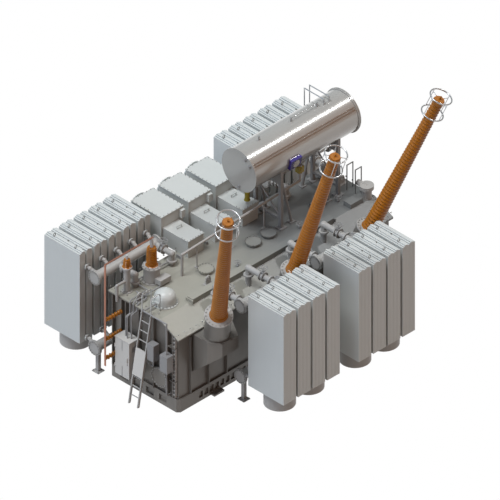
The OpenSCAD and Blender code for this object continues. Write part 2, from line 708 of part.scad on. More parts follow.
module conservator_rails() color(paint) from_corner() translate([cons_x, cons_y, cons_z]) difference() {
    union() {
        // Two side rails along the shell
        for (a = [-33, -39]) rotate([a, 0, 0]) translate([60, -cons_d / 2 - 20, -12]) {
            cube([cons_l - 140, 14, 24]);
            for (x = [200 : 900 : cons_l - 300]) translate([x, 0, 0]) cube([40, 30, 24]);
        }
        // Posts on top, with the wire between the last two
        for (x = post_places * cons_l) translate([x, 0, cons_d / 2 - 5]) cylinder(d = 60, h = 130);
        translate([post_places[1] * cons_l, 0, cons_d / 2 + 100]) rotate([0, 90, 0])
            cylinder(d = 20, h = (post_places[2] - post_places[1]) * cons_l);
        // Two handrails over the far side
        for (x = [0.80, 0.85] * cons_l) {
            pipe_run([[x, cons_d / 2 + 50, 100], [x, cons_d / 2 + 50, cons_d / 2 + 170],
                [x, -70, cons_d / 2 + 170], [x, -70, cons_d / 2 - 20]], 34);
            translate([x, cons_d / 2 - 60, 130]) rotate([-90, 0, 0]) cylinder(d = 30, h = 110);
        }
    }
    rotate([0, 90, 0]) translate([0, 0, -eps])
        cylinder(d = cons_d + 2 * loose, h = cons_l + 2 * eps, $fn = 128);
}
// Places of the posts along the conservator, as shares of its length
post_places = [0.19, 0.5, 0.75];
relay_x = 6650;
relay_y = 1750;
relay_top = 4430;
relay_h = 230;
oil_start = [1900, 1750, 3680];
oil_bend = [relay_x, relay_y, 3900];

module oil_pipe() color(paint) from_corner() {
    pipe_run([[oil_start[0], oil_start[1], tank_h], oil_start, oil_bend,
        [relay_x, relay_y, relay_top - relay_h - 24]], oil_pipe_d);
    translate([relay_x, relay_y, relay_top - relay_h - 24]) cylinder(d = 2 * oil_pipe_d, h = 24);
    for (x = [2500, 3900, 5200]) {
        slope = (oil_bend[2] - oil_start[2]) / (oil_bend[0] - oil_start[0]);
        z = oil_start[2] + slope * (x - oil_start[0]);
        translate([x, relay_y, tank_h]) cylinder(d = 36, h = z - tank_h - oil_pipe_d / 2 - 2);
        translate([x - 60, relay_y - 60, tank_h]) cube([120, 120, 12]);
    }
}

module gas_relay() color([0.75, 0.68, 0.15]) from_corner()
    translate([relay_x, relay_y, relay_top - relay_h]) {
    cylinder(d = 2 * oil_pipe_d, h = 20);
    translate([-100, -85, 20 - eps]) cube([200, 170, relay_h - 40 + 2 * eps]);
    translate([0, 0, relay_h - 20]) cylinder(d = 2 * oil_pipe_d, h = 20);
    translate([0, -85, relay_h / 2]) rotate([90, 0, 0]) cylinder(d = 120, h = 20);
}

module level_gauge() color([0.25, 0.22, 0.55]) from_corner()
    translate([cons_x + 0.376 * cons_l, cons_y, cons_z]) difference() {
        rotate([14, 0, 0]) translate([-gauge_w / 2, -cons_d / 2 - gauge_t, -gauge_h / 2])
            cube([gauge_w, gauge_t + 60, gauge_h]);
        translate([-gauge_w, 0, 0]) rotate([0, 90, 0])
            cylinder(d = cons_d + 2 * loose, h = 2 * gauge_w, $fn = 128);
    }
gauge_w = 420;
gauge_h = 340;
gauge_t = 90;

tap_x = 620;
tap_y = 1160;
tap_barrel_d = 500;
neutral_x = 1120;
neutral_y = 2200;
small_x = 250;
small_y = 2330;
bar_x = -760;

module tap_changer() color(paint) from_corner() translate([tap_x, tap_y, tank_h]) {
    rotate_extrude() polygon(concat(
        [[0, -400], [tap_barrel_d / 2, -400], [tap_barrel_d / 2, 0], [tap_d / 2 + 60, 0],
         [tap_d / 2 + 60, 30], [tap_d / 2, 30], [tap_d / 2, 0.45 * tap_h]],
        [for (a = [15 : 15 : 90]) [tap_d / 2 * cos(a), 0.45 * tap_h + 0.55 * tap_h * sin(a)]]));
    translate([-tap_d / 2 - 40, -90, 40]) cube([tap_d / 2, 180, 130]);
}

module tap_drive() color(steel) from_corner() {
    translate([-rib_d - 260, 80, 1450]) cube([260, 300, 560]);
    translate([-rib_d - 230, 660, 1560]) cube([230, 260, 560]);
}

module drive_shaft() color(steel) from_corner()
    pipe_run([[-rib_d - 130, 230, 2010], [-rib_d - 130, 230, tank_h + 130],
        [-rib_d - 130, tap_y, tank_h + 130], [tap_x - tap_d / 2 - 40, tap_y, tank_h + 130]], 50);

// Short bushing h high with n sheds and a bare terminal rod above them
module small_bushing_shape(h, d, n) {
    body = 0.68 * h;
    rotate_extrude() polygon(concat(
        [[0, 0], [d / 2 + 40, 0], [d / 2 + 40, 24], [d / 2 - 20, 60]],
        [for (k = [0 : n - 1], p = [0 : 2]) let(t = (k + [0.15, 0.5, 0.95][p]) / n)
            [d / 2 - (p == 1 ? 0 : 20) - 0.04 * d * t, 60 + (body - 100) * t]],
        [[0.4 * d, body - 30], [0.4 * d, body - 8], [0.36 * d, body]],
        [[0.16 * d, body], [0.16 * d, h], [0, h]]));
}

module neutral_turret() color(paint) from_corner() translate([neutral_x, neutral_y, tank_h]) {
    cylinder(d = 480, h = neutral_h);
    cylinder(d = 580, h = 30);
    translate([0, 0, neutral_h - 30]) cylinder(d = 560, h = 30);
    translate([-0.2 * 480, -480 / 2 - 220, 60]) cube([420, 240, 170]);
}

module neutral_bushing() color(porcelain) from_corner()
    translate([neutral_x, neutral_y, tank_h + neutral_h]) small_bushing_shape(neutral_len, 320, 10);

module small_turret() color(paint) from_corner() translate([small_x, small_y, tank_h]) {
    cylinder(d = 200, h = small_turret_h);
    cylinder(d = 320, h = 24);
    translate([0, 0, small_turret_h - 24]) cylinder(d = 320, h = 24);
    pipe_run([[0, 0, 0.45 * small_turret_h], [-small_x - rim_w - 60, 0, 0.45 * small_turret_h],
        [-small_x - rim_w - 60, 0, -160]], 90);
}

module small_bushing() color(porcelain) from_corner()
    translate([small_x, small_y, tank_h + small_turret_h]) small_bushing_shape(small_len, 230, 5);

bar_z = tank_h + neutral_h + neutral_len;
insulator_l = -bar_x - rib_d - bar_t / 2;

module earthing_bar() color(copper) from_corner() {
    translate([bar_x - bar_t / 2, neutral_y - bar_w / 2, bar_z])
        cube([neutral_x - bar_x + bar_t / 2 + 60, bar_w, bar_t]);
    translate([bar_x - bar_t / 2, neutral_y - bar_w / 2, 900])
        cube([bar_t, bar_w, bar_z - 900 + bar_t]);
}

module bar_insulators() color(porcelain) from_corner() for (z = [1150, 1810, 2480])
    translate([-rib_d, neutral_y, z]) rotate([0, -90, 0]) {
        rotate_extrude() polygon(concat([[0, 0], [70, 0], [70, 30]],
            [for (k = [0 : 4], p = [0 : 2])
                [[45, 75, 45][p], 40 + (insulator_l - 90) * (k + [0.1, 0.5, 0.9][p]) / 5]],
            [[50, insulator_l - 30], [50, insulator_l], [0, insulator_l]]));
    }

cab_y = 1480;
cab_z = 620;
door_t = 30;

// Gap between the closed door and the cabinet
door_gap = 3;
hinge_pin_d = 16;
knuckle_d = 36;
knuckle_h = 80;
hinge_x = -rib_d - cabinet_d - door_gap - door_t / 2;
hinge_y = cab_y + cabinet_w + knuckle_d / 2 + 2;
hinge_levels = [0.2 * cabinet_h, 0.72 * cabinet_h];

module control_cabinet() color(pale) from_corner() {
    translate([-rib_d - cabinet_d, cab_y, cab_z]) difference() {
        union() {
            cube([cabinet_d, cabinet_w, cabinet_h]);
            translate([-40, -20, cabinet_h - 30]) cube([cabinet_d + 40, cabinet_w + 40, 30]);
        }
        translate([-eps, 20, 20]) cube([cabinet_d - 20, cabinet_w - 40, cabinet_h - 70]);
    }
    // Hinge blocks, each with its pin
    for (z = hinge_levels) {
        translate([hinge_x - knuckle_d / 2, cab_y + cabinet_w, cab_z + z - 30 - loose])
            cube([knuckle_d + 60, knuckle_d + 4, 30]);
        translate([hinge_x, hinge_y, cab_z + z - 20]) cylinder(d = hinge_pin_d, h = knuckle_h + 30);
    }
}

module cabinet_door() color(pale) from_corner() difference() {
    union() {
        translate([hinge_x - door_t / 2, cab_y, cab_z + 10]) cube([door_t, cabinet_w, cabinet_h - 50]);
        translate([hinge_x - door_t / 2 - 40, cab_y + 60, cab_z + 0.45 * cabinet_h])
            cube([41, 30, 160]);
        for (z = hinge_levels) {
            translate([hinge_x, hinge_y, cab_z + z]) cylinder(d = knuckle_d, h = knuckle_h);
            translate([hinge_x - door_t / 2, cab_y + cabinet_w - eps, cab_z + z])
                cube([door_t, hinge_y - cab_y - cabinet_w + eps, knuckle_h]);
        }
    }
    for (z = hinge_levels) {
        translate([hinge_x, hinge_y, cab_z + z - eps])
            cylinder(d = hinge_pin_d + 2 * run_gap, h = knuckle_h + 2 * eps);
        // Room for the hinge block while the door turns
        translate([hinge_x, hinge_y, cab_z + z - 40]) cylinder(d = 2 * knuckle_d, h = 40);
    }
}

ladder_y = 940;
ladder_foot_x = -700;
ladder_top_x = -rim_w - 66;
ladder_h = tank_h + 60;
ladder_lean = atan2(ladder_top_x - ladder_foot_x, ladder_h);

module on_ladder() from_corner()
    translate([ladder_foot_x, ladder_y, 0]) rotate([0, ladder_lean, 0]) children();

module ladder() color(paint) {
    run = ladder_h / cos(ladder_lean);
    difference() {
        on_ladder() {
            for (y = [0, ladder_w - 40]) translate([0, y, -40]) cube([70, 40, run + 40]);
            for (z = [rung_pitch : rung_pitch : run - 60]) translate([35, 10, z]) rotate([-90, 0, 0])
                cylinder(d = 32, h = ladder_w - 20);
        }
        from_corner() translate([-1500, 0, -200]) cube([3000, 3000, 200]);
    }
    from_corner() for (y = [ladder_y, ladder_y + ladder_w - 40])
        translate([ladder_top_x - 40, y, cover_z - rim_t]) cube([-rim_w - ladder_top_x + 40, 40, rim_t]);
}

// Guard plate on the front of the ladder
guard_t = 6;
guard_z = 950;
guard_l = 870;

module ladder_guard() color(pale) on_ladder() translate([-guard_t, 0, guard_z])
    cube([guard_t, ladder_w, guard_l]);

module hatch(x, y) translate([x, y, tank_h]) {
    cylinder(d = hatch_d, h = 70);
    translate([0, 0, 70 - eps]) cylinder(d = hatch_d + 60, h = 30 + eps);
}

hatch_x = [2530, 4440, 5060];
hatch_y = 1420;
// Boxed covers: place along and across the tank, length, width, height
hatch_boxes = [[6900, 1300, 420, 320, 90], [7620, 650, 480, 300, 160]];

module hatch_covers() color(pale) from_corner() {
    for (x = hatch_x) hatch(x, hatch_y);
    for (b = hatch_boxes) translate([b[0], b[1], tank_h]) cube([b[2], b[3], b[4]]);
    // Grab rails above the far end
    for (y = [1090, 1430]) translate([tank_l - 260, y, tank_h])
        pipe_run([[0, 0, 0], [0, 0, 850], [240, 0, 850], [240, 0, 0]], 34);
}

relief_y = 760;

module relief_hood() color(paint) from_corner() translate([tank_l - 130, relief_y, tank_h]) {
    cylinder(d = 300, h = 320);
    translate([0, 0, 320 - eps]) cylinder(d = 420, h = 120);
    translate([0, 0, 360]) rotate([-90, 0, 0]) cylinder(d = 180, h = 360);
}

tank();
tank_cover();
core();
core_clamps();
winding(0);  // winding_1
winding(1);  // winding_2
winding(2);  // winding_3
hv_turret(0);  // hv_turret_1
hv_turret(1);  // hv_turret_2
hv_turret(2);  // hv_turret_3
hv_bushing(0);  // hv_bushing_1
hv_bushing(1);  // hv_bushing_2
hv_bushing(2);  // hv_bushing_3
corona_ring(0);  // corona_ring_1
corona_ring(1);  // corona_ring_2
corona_ring(2);  // corona_ring_3
lv_hood(0);  // lv_hood_1
lv_hood(1);  // lv_hood_2
lv_hood(2);  // lv_hood_3
conservator();
conservator_trestles();
conservator_rails();
level_gauge();
gas_relay();
oil_pipe();
neutral_turret();
neutral_bushing();
small_turret();
small_bushing();
earthing_bar();
bar_insulators();
control_cabinet();
cabinet_door();
ladder();
ladder_guard();
tap_changer();
tap_drive();
drive_shaft();
hatch_covers();
relief_hood();
headers(0);  // headers_1
headers(1);  // headers_2
headers(2);  // headers_3
headers(3);  // headers_4
radiators(0);  // radiators_1
radiators(1);  // radiators_2
radiators(2);  // radiators_3
radiators(3);  // radiators_4
fan_ducts(0);  // fan_ducts_1
fan_ducts(1);  // fan_ducts_2
fan_ducts(2);  // fan_ducts_3
fan_ducts(3);  // fan_ducts_4
fan_rotor(0);  // fan_rotor_1
fan_rotor(1);  // fan_rotor_2
fan_rotor(2);  // fan_rotor_3
fan_rotor(3);  // fan_rotor_4
fan_rotor(4);  // fan_rotor_5
fan_rotor(5);  // fan_rotor_6
fan_rotor(6);  // fan_rotor_7
fan_rotor(7);  // fan_rotor_8
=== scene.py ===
"""Dresses an oil-filled power transformer: finishes, small fittings, light and camera."""
import math

import bpy
from bpy.props import FloatProperty, FloatVectorProperty, IntProperty, PointerProperty
from bpy.types import Operator, Panel, PropertyGroup
from mathutils import Matrix, Vector


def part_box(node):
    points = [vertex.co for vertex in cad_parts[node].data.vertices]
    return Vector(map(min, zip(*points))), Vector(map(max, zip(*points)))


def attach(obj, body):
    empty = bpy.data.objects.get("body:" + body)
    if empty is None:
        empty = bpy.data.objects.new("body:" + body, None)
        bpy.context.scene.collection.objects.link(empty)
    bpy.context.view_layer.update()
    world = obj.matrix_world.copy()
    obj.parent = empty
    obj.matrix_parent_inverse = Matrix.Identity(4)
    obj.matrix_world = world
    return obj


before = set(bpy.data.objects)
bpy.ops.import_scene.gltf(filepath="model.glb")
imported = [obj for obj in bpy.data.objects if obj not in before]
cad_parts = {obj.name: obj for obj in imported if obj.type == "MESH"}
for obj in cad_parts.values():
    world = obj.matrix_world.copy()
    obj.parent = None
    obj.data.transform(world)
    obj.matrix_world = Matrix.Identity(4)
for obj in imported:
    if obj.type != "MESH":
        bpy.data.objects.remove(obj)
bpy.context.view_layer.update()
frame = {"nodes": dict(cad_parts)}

bl_info = {
    "name": "Power transformer dressing",
    "version": (1, 0, 0),
    "blender": (4, 5, 0),
    "location": "View3D > Sidebar > Transformer",
    "description": "Finishes, fasteners and fittings of an oil-filled power transformer",
    "category": "Object",
}

ROOT = "transformer"
DOOR = "door"
UP = (0.0, 0.0, 1.0)

# Sizes are in metres, and X and Y are counted from the tank's corner at low X and low Y
TANK_L = 8.50
TANK_W = 2.65
TANK_TOP = 2.95
RIM_W = 0.09
RIB_D = 0.12
MANHOLE = (-0.175, 0.60, 1.00)
MANHOLE_BOLTS_R = 0.295
MANHOLE_BOLTS = 20

# The width of a small flange's bolts, as a share of the others
SMALL_BOLT = 0.7

# The cover's slope: how far in it begins, the way it looks and its fall for each metre
SLOPE_IN = 0.65
SLOPE_WAY = (0.0, -0.4526, 0.8917)
SLOPE_FALL = 0.5077

# How far from its corners a side row of the rim's bolts begins and ends
RIM_ROW_START = 0.1
RIM_ROW_END = 0.2

# Rings of bolts on the cover: X, Y, height above the cover, radius and number
HATCH_RINGS = tuple((x, 1.42, 0.10, 0.235, 16) for x in (2.53, 4.44, 5.06))
NEUTRAL_RINGS = ((1.12, 2.20, 0.52, 0.255, 12), (1.12, 2.20, 0.03, 0.265, 12))
SMALL_RINGS = ((0.25, 2.33, 0.83, 0.140, 8), (0.25, 2.33, 0.024, 0.130, 8))
TAP_RINGS = ((0.62, 1.16, 0.03, 0.350, 20),)

# Where the lifting lugs and the small valves stand on the cover
LUGS = ((0.16, 1.75), (8.36, 1.75), (2.15, 0.95), (6.35, 0.95))
COVER_VALVES = ((0.40, 1.72), (3.35, 0.95), (5.95, 1.05), (7.65, 1.20))
LUG_SUNK = 0.002
COVER_WHEEL_R = 0.10

# The turrets and bushings of the high-voltage side
PHASES = 3
PHASE_PITCH = 2.80
POCKET_X = 1.17
POCKET_TOP = 2.48
TURRET_LEN = 1.05
TURRET_IN = 0.18
TURRET_OUT = 0.56
TURRET_FLANGE = 0.036
LEAN_OUT = math.radians(18.8)
LEAN_SIDE = math.radians(14.6)
FLANGE_BOLTS_R = 0.375
FLANGE_BOLTS = 20
HEAD_R = 0.19

# The painted foot of a bushing, and the share of a short one's height where its bare terminal begins
LONG_FOOT = 0.05
SHORT_FOOT = 0.03
TERMINAL_SHARE = 0.685

# The low-voltage hoods: a low part over the cover and a high part outside the tank
LV_X = 2.56
LV_PITCH = 1.10
LV_W = 0.865
LV_LOW_IN = 0.42
LV_LOW_W = 0.625
LV_LOW_LID = 0.59
LV_HIGH_OUT = 0.60
LV_HIGH_L = 1.20
LV_TOP = 3.90
LOW_LID_PITCH = 0.11
LOW_LID_SIDE = 0.06
LOW_LID_ROW = (0.02, 0.24)
LOW_LID_FRONT = (0.16, LV_LOW_W - 0.05)
HIGH_LID_PITCH = 0.16
HIGH_LID_SIDE = (0.05, LV_HIGH_L - 0.05)
HIGH_LID_END = (0.1, LV_W - 0.1)
MOUTH_OUT = 0.16
MOUTH_DOWN = 0.46
MOUTH_BOLTS_R = 0.375
MOUTH_BOLTS = 24

# The four banks of radiators: side, start along X, radiators, distance out, collector's distance out
BANKS = ((-1, 1.442, 4, 1.378, 0.870), (-1, 4.482, 4, 1.378, 0.870),
         (1, -0.511, 5, 0.827, 0.410), (1, 6.329, 5, 0.827, 0.410))
RAD_PITCH = 0.59
RAD_W = 0.50
RAD_LEN = 1.43
RAD_TOP = 4.06
EYE_SHARES = (0.2, 0.8)
EYE_SUNK = 0.012
VENT_SUNK = 0.052
STUB_TOP = 3.50
STUB_LOW = 1.03
STUB_FACE = 0.09
STUB_BOLTS_R = 0.082
STUB_BOLTS = 8
HEADER_TOP = 3.33
HEADER_LOW = 0.87
HEADER_BOLTS_R = 0.200
HEADER_START = 0.165
HEADER_SHORT = {-1: 0.46, 1: 0.15}
LOW_HEADER_SHORT = 0.10
TIE_IN = 0.30
TIE_WHEEL_R = 0.13
WHEEL_UP = 0.085
VALVE_L = 0.15
TIE_START = 0.20
TIE_LEAST = 0.60
TIE_END = 0.12
TIE_MOST = TANK_L - 0.25
POST_IN = 0.17
FOOT_BOLT_OUT = 0.10
FOOT_TOP = 0.024

# The conservator, its gauge and its breather
CONS_X = 4.40
CONS_Y = 1.95
CONS_Z = 5.28
CONS_R = 0.67
CONS_L = 4.20
END_T = 0.03
END_BOLTS_R = 0.65
END_BOLTS = 40
PLUGS_R = 0.56
PLUG_ANGLES = (62.0, 38.0, -90.0)
GAUGE_TILT = math.radians(14)
GAUGE_OUT = 0.09
NEEDLE_OUT = 0.022
NEEDLE_SPIN = 0.6
BREATHER_X = 5.15
BREATHER_OUT = 0.42
BREATHER_R = 0.025
BREATHER_TOP = 4.78
BREATHER_LOW = 3.95
JAR_LOW = 3.66

# The control cabinet on the near end
CAB_Y = 1.48
CAB_Z = 0.62
CAB_W = 0.56
CAB_H = 1.29
CAB_D = 0.36
CAB_TOP = CAB_Z + CAB_H
DOOR_T = 0.033
LOCK_IN = 0.075
LOCK_UP = 0.50
VENT_PITCH = 0.03
SIDE_VENTS = tuple(0.92 + VENT_PITCH * k for k in range(6))
DOOR_VENTS = tuple(low + VENT_PITCH * k for low in (0.16, 1.04) for k in range(3))

# Routes of the conduits, from the cabinet's top and foot and from the two drives
CONDUITS = (
    ((-0.30, 1.60, CAB_TOP), (-0.30, 1.60, 2.75), (-0.07, 1.60, 2.75), (-0.05, 1.60, 3.02),
     (0.35, 1.60, 3.02), (0.35, 2.05, 3.02)),
    ((-0.36, 1.70, CAB_TOP), (-0.36, 1.70, 2.70), (-0.11, 1.70, 2.70), (-0.11, 1.70, 3.06),
     (0.95, 1.70, 3.06)),
    ((-0.30, 1.82, CAB_TOP), (-0.30, 1.82, 2.60), (-0.13, 1.82, 2.60), (-0.13, 1.82, 3.06),
     (0.60, 1.82, 3.06), (0.60, 2.40, 3.06), (2.30, 2.40, 3.06)),
    ((-0.30, 1.60, CAB_Z), (-0.30, 1.60, 0.46), (-0.07, 1.60, 0.46)),
    ((-0.22, 0.79, 1.56), (-0.22, 0.79, 1.30), (-0.16, 1.38, 1.30), (-0.16, 1.38, 0.80),
     (-0.16, 1.47, 0.80)),
    ((-0.25, 0.23, 1.45), (-0.25, 0.23, 0.58), (-0.08, 0.23, 0.58)),
)
STAND_Y = 2.42
STANDS_X = (2.45, 3.5, 4.6, 5.75)

# The ladder's grab rails: their places along Y, and their route over the cover's edge in X and Z
GRABS_Y = (0.96, 1.32)
GRAB_ROUTE = ((-0.15, 2.60), (-0.15, 3.55), (0.22, 3.55), (0.22, 2.96))
GRAB_R = 0.017
GRAB_BEND = 0.10

# The cable tray on the tank's end
TRAY_X = -0.05
TRAY_SIDES_Y = (0.05, 0.15)
TRAY_Y = 0.10
TRAY_Z = 0.50
TRAY_H = 2.16
RUNG_Z = 0.56
RUNG_PITCH = 0.14
RUNGS = 15

# Where the cover's painted shade, a darker blue-grey second tone, begins along X in the frame, and over
# what length it comes
PAINTED_SHADE_FROM = -1.8
PAINTED_SHADE_OVER = 2.6

# A height that nothing reaches
OUT_OF_REACH = 20.0

# The lights: name, where from, share of the key light's strength, angle in degrees
LIGHTS = (("key_sun", (-0.35, 0.1, 1.0), 1.0, 20.0), ("side_sun", (-1.0, 0.1, 0.25), 0.25, 50.0),
          ("rim_sun", (0.58, -0.2, 0.8), 0.3, 3.0))

# The sky's light from above, from -X and from -Y, and how fast one turns to the next
SKY_ABOVE = (0.45, 0.48, 0.48, 1.0)
SKY_LEFT = (0.25, 0.37, 0.56, 1.0)
SKY_FRONT = (0.37, 0.20, 0.11, 1.0)
SKY_TURN = -1.6

# The floor, and the camera's way of looking, distance and middle
FLOOR_SIZE = 400.0
FLOOR_Z = -0.002
FLOOR_COLOUR = (0.28, 0.28, 0.275)
VIEW_BACK = (-1.0, -1.0, 1.0)
VIEW_DISTANCE = 40.0
VIEW_CENTRE = (-0.016, 0.016, 2.881)


def colour(name, text, value):
    """A colour property with its usual settings."""
    return FloatVectorProperty(name=name, description=text, subtype="COLOR", size=3, min=0.0, max=1.0,
                               default=value)


def length(name, text, value, low=0.001, high=1.0):
    """A length property in metres."""
    return FloatProperty(name=name, description=text, default=value, min=low, max=high, unit="LENGTH")


class FinishColours(PropertyGroup):
    """Colours of the finishes."""

    paint: colour("Pipe paint", "Grey paint of the pipes, collectors and small turrets", (0.38, 0.38, 0.37))
    hull: colour("Tank paint", "Dark grey paint of the tank and the tall turrets", (0.175, 0.165, 0.15))
    pale: colour("Cover paint", "Cream-grey paint of the cover", (0.32, 0.32, 0.28))
    # Painted shade: the far cover colour is a darker blue-grey that stands in for the shade of the bushings
    # and fittings over the cover's far part
    far_painted_shade: colour("Far cover paint", "Blue-grey paint of the cover's far part", (0.165, 0.175, 0.175))
    cabinet: colour("Cabinet paint", "Pale paint of the cabinet and the ladder's guard", (0.56, 0.56, 0.54))
    radiator: colour("Radiator paint", "Paint of the radiator plates", (0.56, 0.60, 0.60))
    conservator: colour("Conservator paint", "Paint of the conservator", (0.40, 0.40, 0.385))
    frame: colour("Frame paint", "Paint of trestles, core clamps, drives and conduits", (0.26, 0.265, 0.27))
    porcelain: colour("Porcelain", "Glaze of the bushings", (0.34, 0.122, 0.008))
    metal: colour("Bare metal", "Corona rings, rails and bare terminals", (0.50, 0.51, 0.52))
    copper: colour("Copper", "Earthing bar", (0.42, 0.20, 0.14))
    winding: colour("Winding", "Paper-covered windings", (0.45, 0.30, 0.15))
    core: colour("Core", "Edges of the core sheets", (0.16, 0.165, 0.17))
    gauge: colour("Gauge", "Violet-blue gauge", (0.035, 0.02, 0.20))
    relay: colour("Relay", "Dull yellow relay", (0.34, 0.27, 0.02))
    fan: colour("Fan", "Dark fan blades", (0.10, 0.105, 0.11))
    zinc: colour("Zinc", "Plated bolts and washers", (0.36, 0.36, 0.35))
    lid: colour("Lids", "Pale paint of the low-voltage hoods and the tap changer", (0.52, 0.55, 0.54))


class DressSizes(PropertyGroup):
    """Sizes of what is added to the frame."""

    bolt_d: length("Bolt width", "Width across a bolt head", 0.034)
    bolt_h: length("Bolt height", "Height of a bolt head", 0.022)
    bolt_pitch: length("Bolt pitch", "Distance between rim bolts", 0.24)
    flange_bolts: IntProperty(name="Flange bolts", description="Bolts round a collector's flange",
                              default=16, min=4, max=48)
    wire: length("Conduit", "Radius of the conduits", 0.022)
    paint_bump: FloatProperty(name="Paint bump", description="Strength of the orange peel", default=0.05,
                              min=0.0, max=1.0)
    view_width: length("View width", "Width of the camera's view", 500 / 35, low=1.0, high=40.0)
    sun: FloatProperty(name="Key light", description="Strength of the key light", default=2.2, min=0.0,
                       max=10.0)
    sky: FloatProperty(name="Fill light", description="Strength of the sky", default=1.0, min=0.0,
                       max=4.0)


class Sock:
    """A shader socket that can be written as arithmetic."""

    def __init__(self, tree, out):
        self.tree = tree
        self.out = out

    def _math(self, operation, a, b=None, clamp=False):
        node = self.tree.nodes.new("ShaderNodeMath")
        node.operation = operation
        node.use_clamp = clamp
        for slot, value in enumerate((a, b)):
            if isinstance(value, Sock):
                self.tree.links.new(value.out, node.inputs[slot])
            elif value is not None:
                node.inputs[slot].default_value = value
        return Sock(self.tree, node.outputs[0])

    def __add__(self, other):
        return self._math("ADD", self, other)

    def __radd__(self, other):
        return self._math("ADD", other, self)

    def __sub__(self, other):
        return self._math("SUBTRACT", self, other)

    def __rsub__(self, other):
        return self._math("SUBTRACT", other, self)

    def __mul__(self, other):
        return self._math("MULTIPLY", self, other)

    def __rmul__(self, other):
        return self._math("MULTIPLY", other, self)

    def __truediv__(self, other):
        return self._math("DIVIDE", self, other)

    def over(self, limit):
        return self._math("GREATER_THAN", self, limit)

    def under(self, limit):
        return self._math("LESS_THAN", self, limit)

    def saturate(self):
        return self._math("MULTIPLY", self, 1.0, clamp=True)


class Shader:
    """A material being written: its tree, its shader and its object coordinates."""

    def __init__(self, name):
        self.material = bpy.data.materials.new(name)
        self.material.use_nodes = True
        self.tree = self.material.node_tree
        self.bsdf = self.tree.nodes["Principled BSDF"]
        self.coords = self.node("ShaderNodeTexCoord", out="Object")

    def node(self, kind, settings=None, values=None, out=0):
        made = self.tree.nodes.new(kind)
        for key, value in (settings or {}).items():
            setattr(made, key, value)
        for key, value in (values or {}).items():
            self.feed(made.inputs[key], value)
        return Sock(self.tree, made.outputs[out])

    def feed(self, socket, value):
        if isinstance(value, Sock):
            self.tree.links.new(value.out, socket)
        elif isinstance(value, (tuple, list)) and len(value) == 3 and len(socket.default_value) == 4:
            socket.default_value = (*value, 1.0)
        else:
            socket.default_value = value

    def noise(self, scale, detail, rough=0.5, vector=None):
        values = {"Vector": vector or self.coords, "Scale": scale, "Detail": detail, "Roughness": rough}
        return self.node("ShaderNodeTexNoise", None, values, "Fac")

    def stretch(self, scale):
        return self.node("ShaderNodeVectorMath", {"operation": "MULTIPLY"}, {0: self.coords, 1: scale},
                         "Vector")

    def axis(self, name):
        return self.node("ShaderNodeSeparateXYZ", None, {0: self.coords}, name)

    def mix(self, factor, low, high):
        made = self.tree.nodes.new("ShaderNodeMix")
        made.data_type = "RGBA"
        self.feed(made.inputs[0], factor)
        self.feed(made.inputs[6], low)
        self.feed(made.inputs[7], high)
        return Sock(self.tree, made.outputs[2])

    def dot(self, one, other):
        return self.node("ShaderNodeVectorMath", {"operation": "DOT_PRODUCT"}, {0: one, 1: other}, "Value")

    def bump(self, height, strength, distance):
        values = {"Strength": strength, "Distance": distance, "Height": height}
        self.feed(self.bsdf.inputs["Normal"], self.node("ShaderNodeBump", None, values, "Normal"))

    def set(self, **values):
        for key, value in values.items():
            self.feed(self.bsdf.inputs[key.replace("_", " ")], value)


def turned(direction):
    """The turn that takes Z to a direction."""
    return Vector(direction).to_track_quat("Z", "Y").to_matrix().to_4x4()


def at(point, direction=UP, spin=0.0):
    """The place of a copy: its point, the way its Z looks and its spin about it."""
    return Matrix.Translation(Vector(point)) @ turned(direction) @ Matrix.Rotation(spin, 4, "Z")


def ring_places(centre, axis, radius, count, offset=0.0):
    """Places round a circle, looking along its axis."""
    turn = turned(axis)
    middle = Vector(centre)
    return [Matrix.Translation(middle) @ turn @ Matrix.Rotation(offset + 2 * math.pi * k / count, 4, "Z")
            @ Matrix.Translation((radius, 0.0, 0.0)) for k in range(count)]


def line_places(first, last, pitch, axis):
    """Places along a line, about a pitch apart."""
    first, last = Vector(first), Vector(last)
    count = max(1, round((last - first).length / pitch))
    return [at(first.lerp(last, k / count), axis) for k in range(count + 1)]


def tank_corner():
    """The tank's corner at low X and low Y, from the cover's box."""
    low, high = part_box("tank_cover")
    return Vector((low.x + RIM_W, low.y + RIM_W, 0.0))


def spot(x, y, z):
    """A point counted from the tank's corner."""
    return tank_corner() + Vector((x, y, z))


def turret_axis(index):
    """The foot of a turret and the way its bushing points."""
    foot = spot(POCKET_X - TURRET_IN + index * PHASE_PITCH, -TURRET_OUT, POCKET_TOP)
    way = Vector((math.tan(LEAN_SIDE) * (index - 1), -math.tan(LEAN_OUT), 1.0)).normalized()
    return foot, way


def bank_point(bank, x, out, z):
    """A point at a bank, counted outwards from the tank's wall."""
    side = BANKS[bank][0]
    return spot(x, -out if side < 0 else TANK_W + out, z)


def collector_ends(bank):
    """The ends along X of a bank's collectors: where both begin, and where the upper and the lower end."""
    side, start_x, count, _, _ = BANKS[bank]
    last = start_x + (count - 1) * RAD_PITCH + RAD_W
    return start_x + HEADER_START, last - HEADER_SHORT[side], last - LOW_HEADER_SHORT


def tie_places(bank):
    """Where the pipes between a bank's collector and the tank are along X."""
    first, last, _ = collector_ends(bank)
    return max(first + TIE_START, TIE_LEAST), min(last - TIE_END, TIE_MOST)


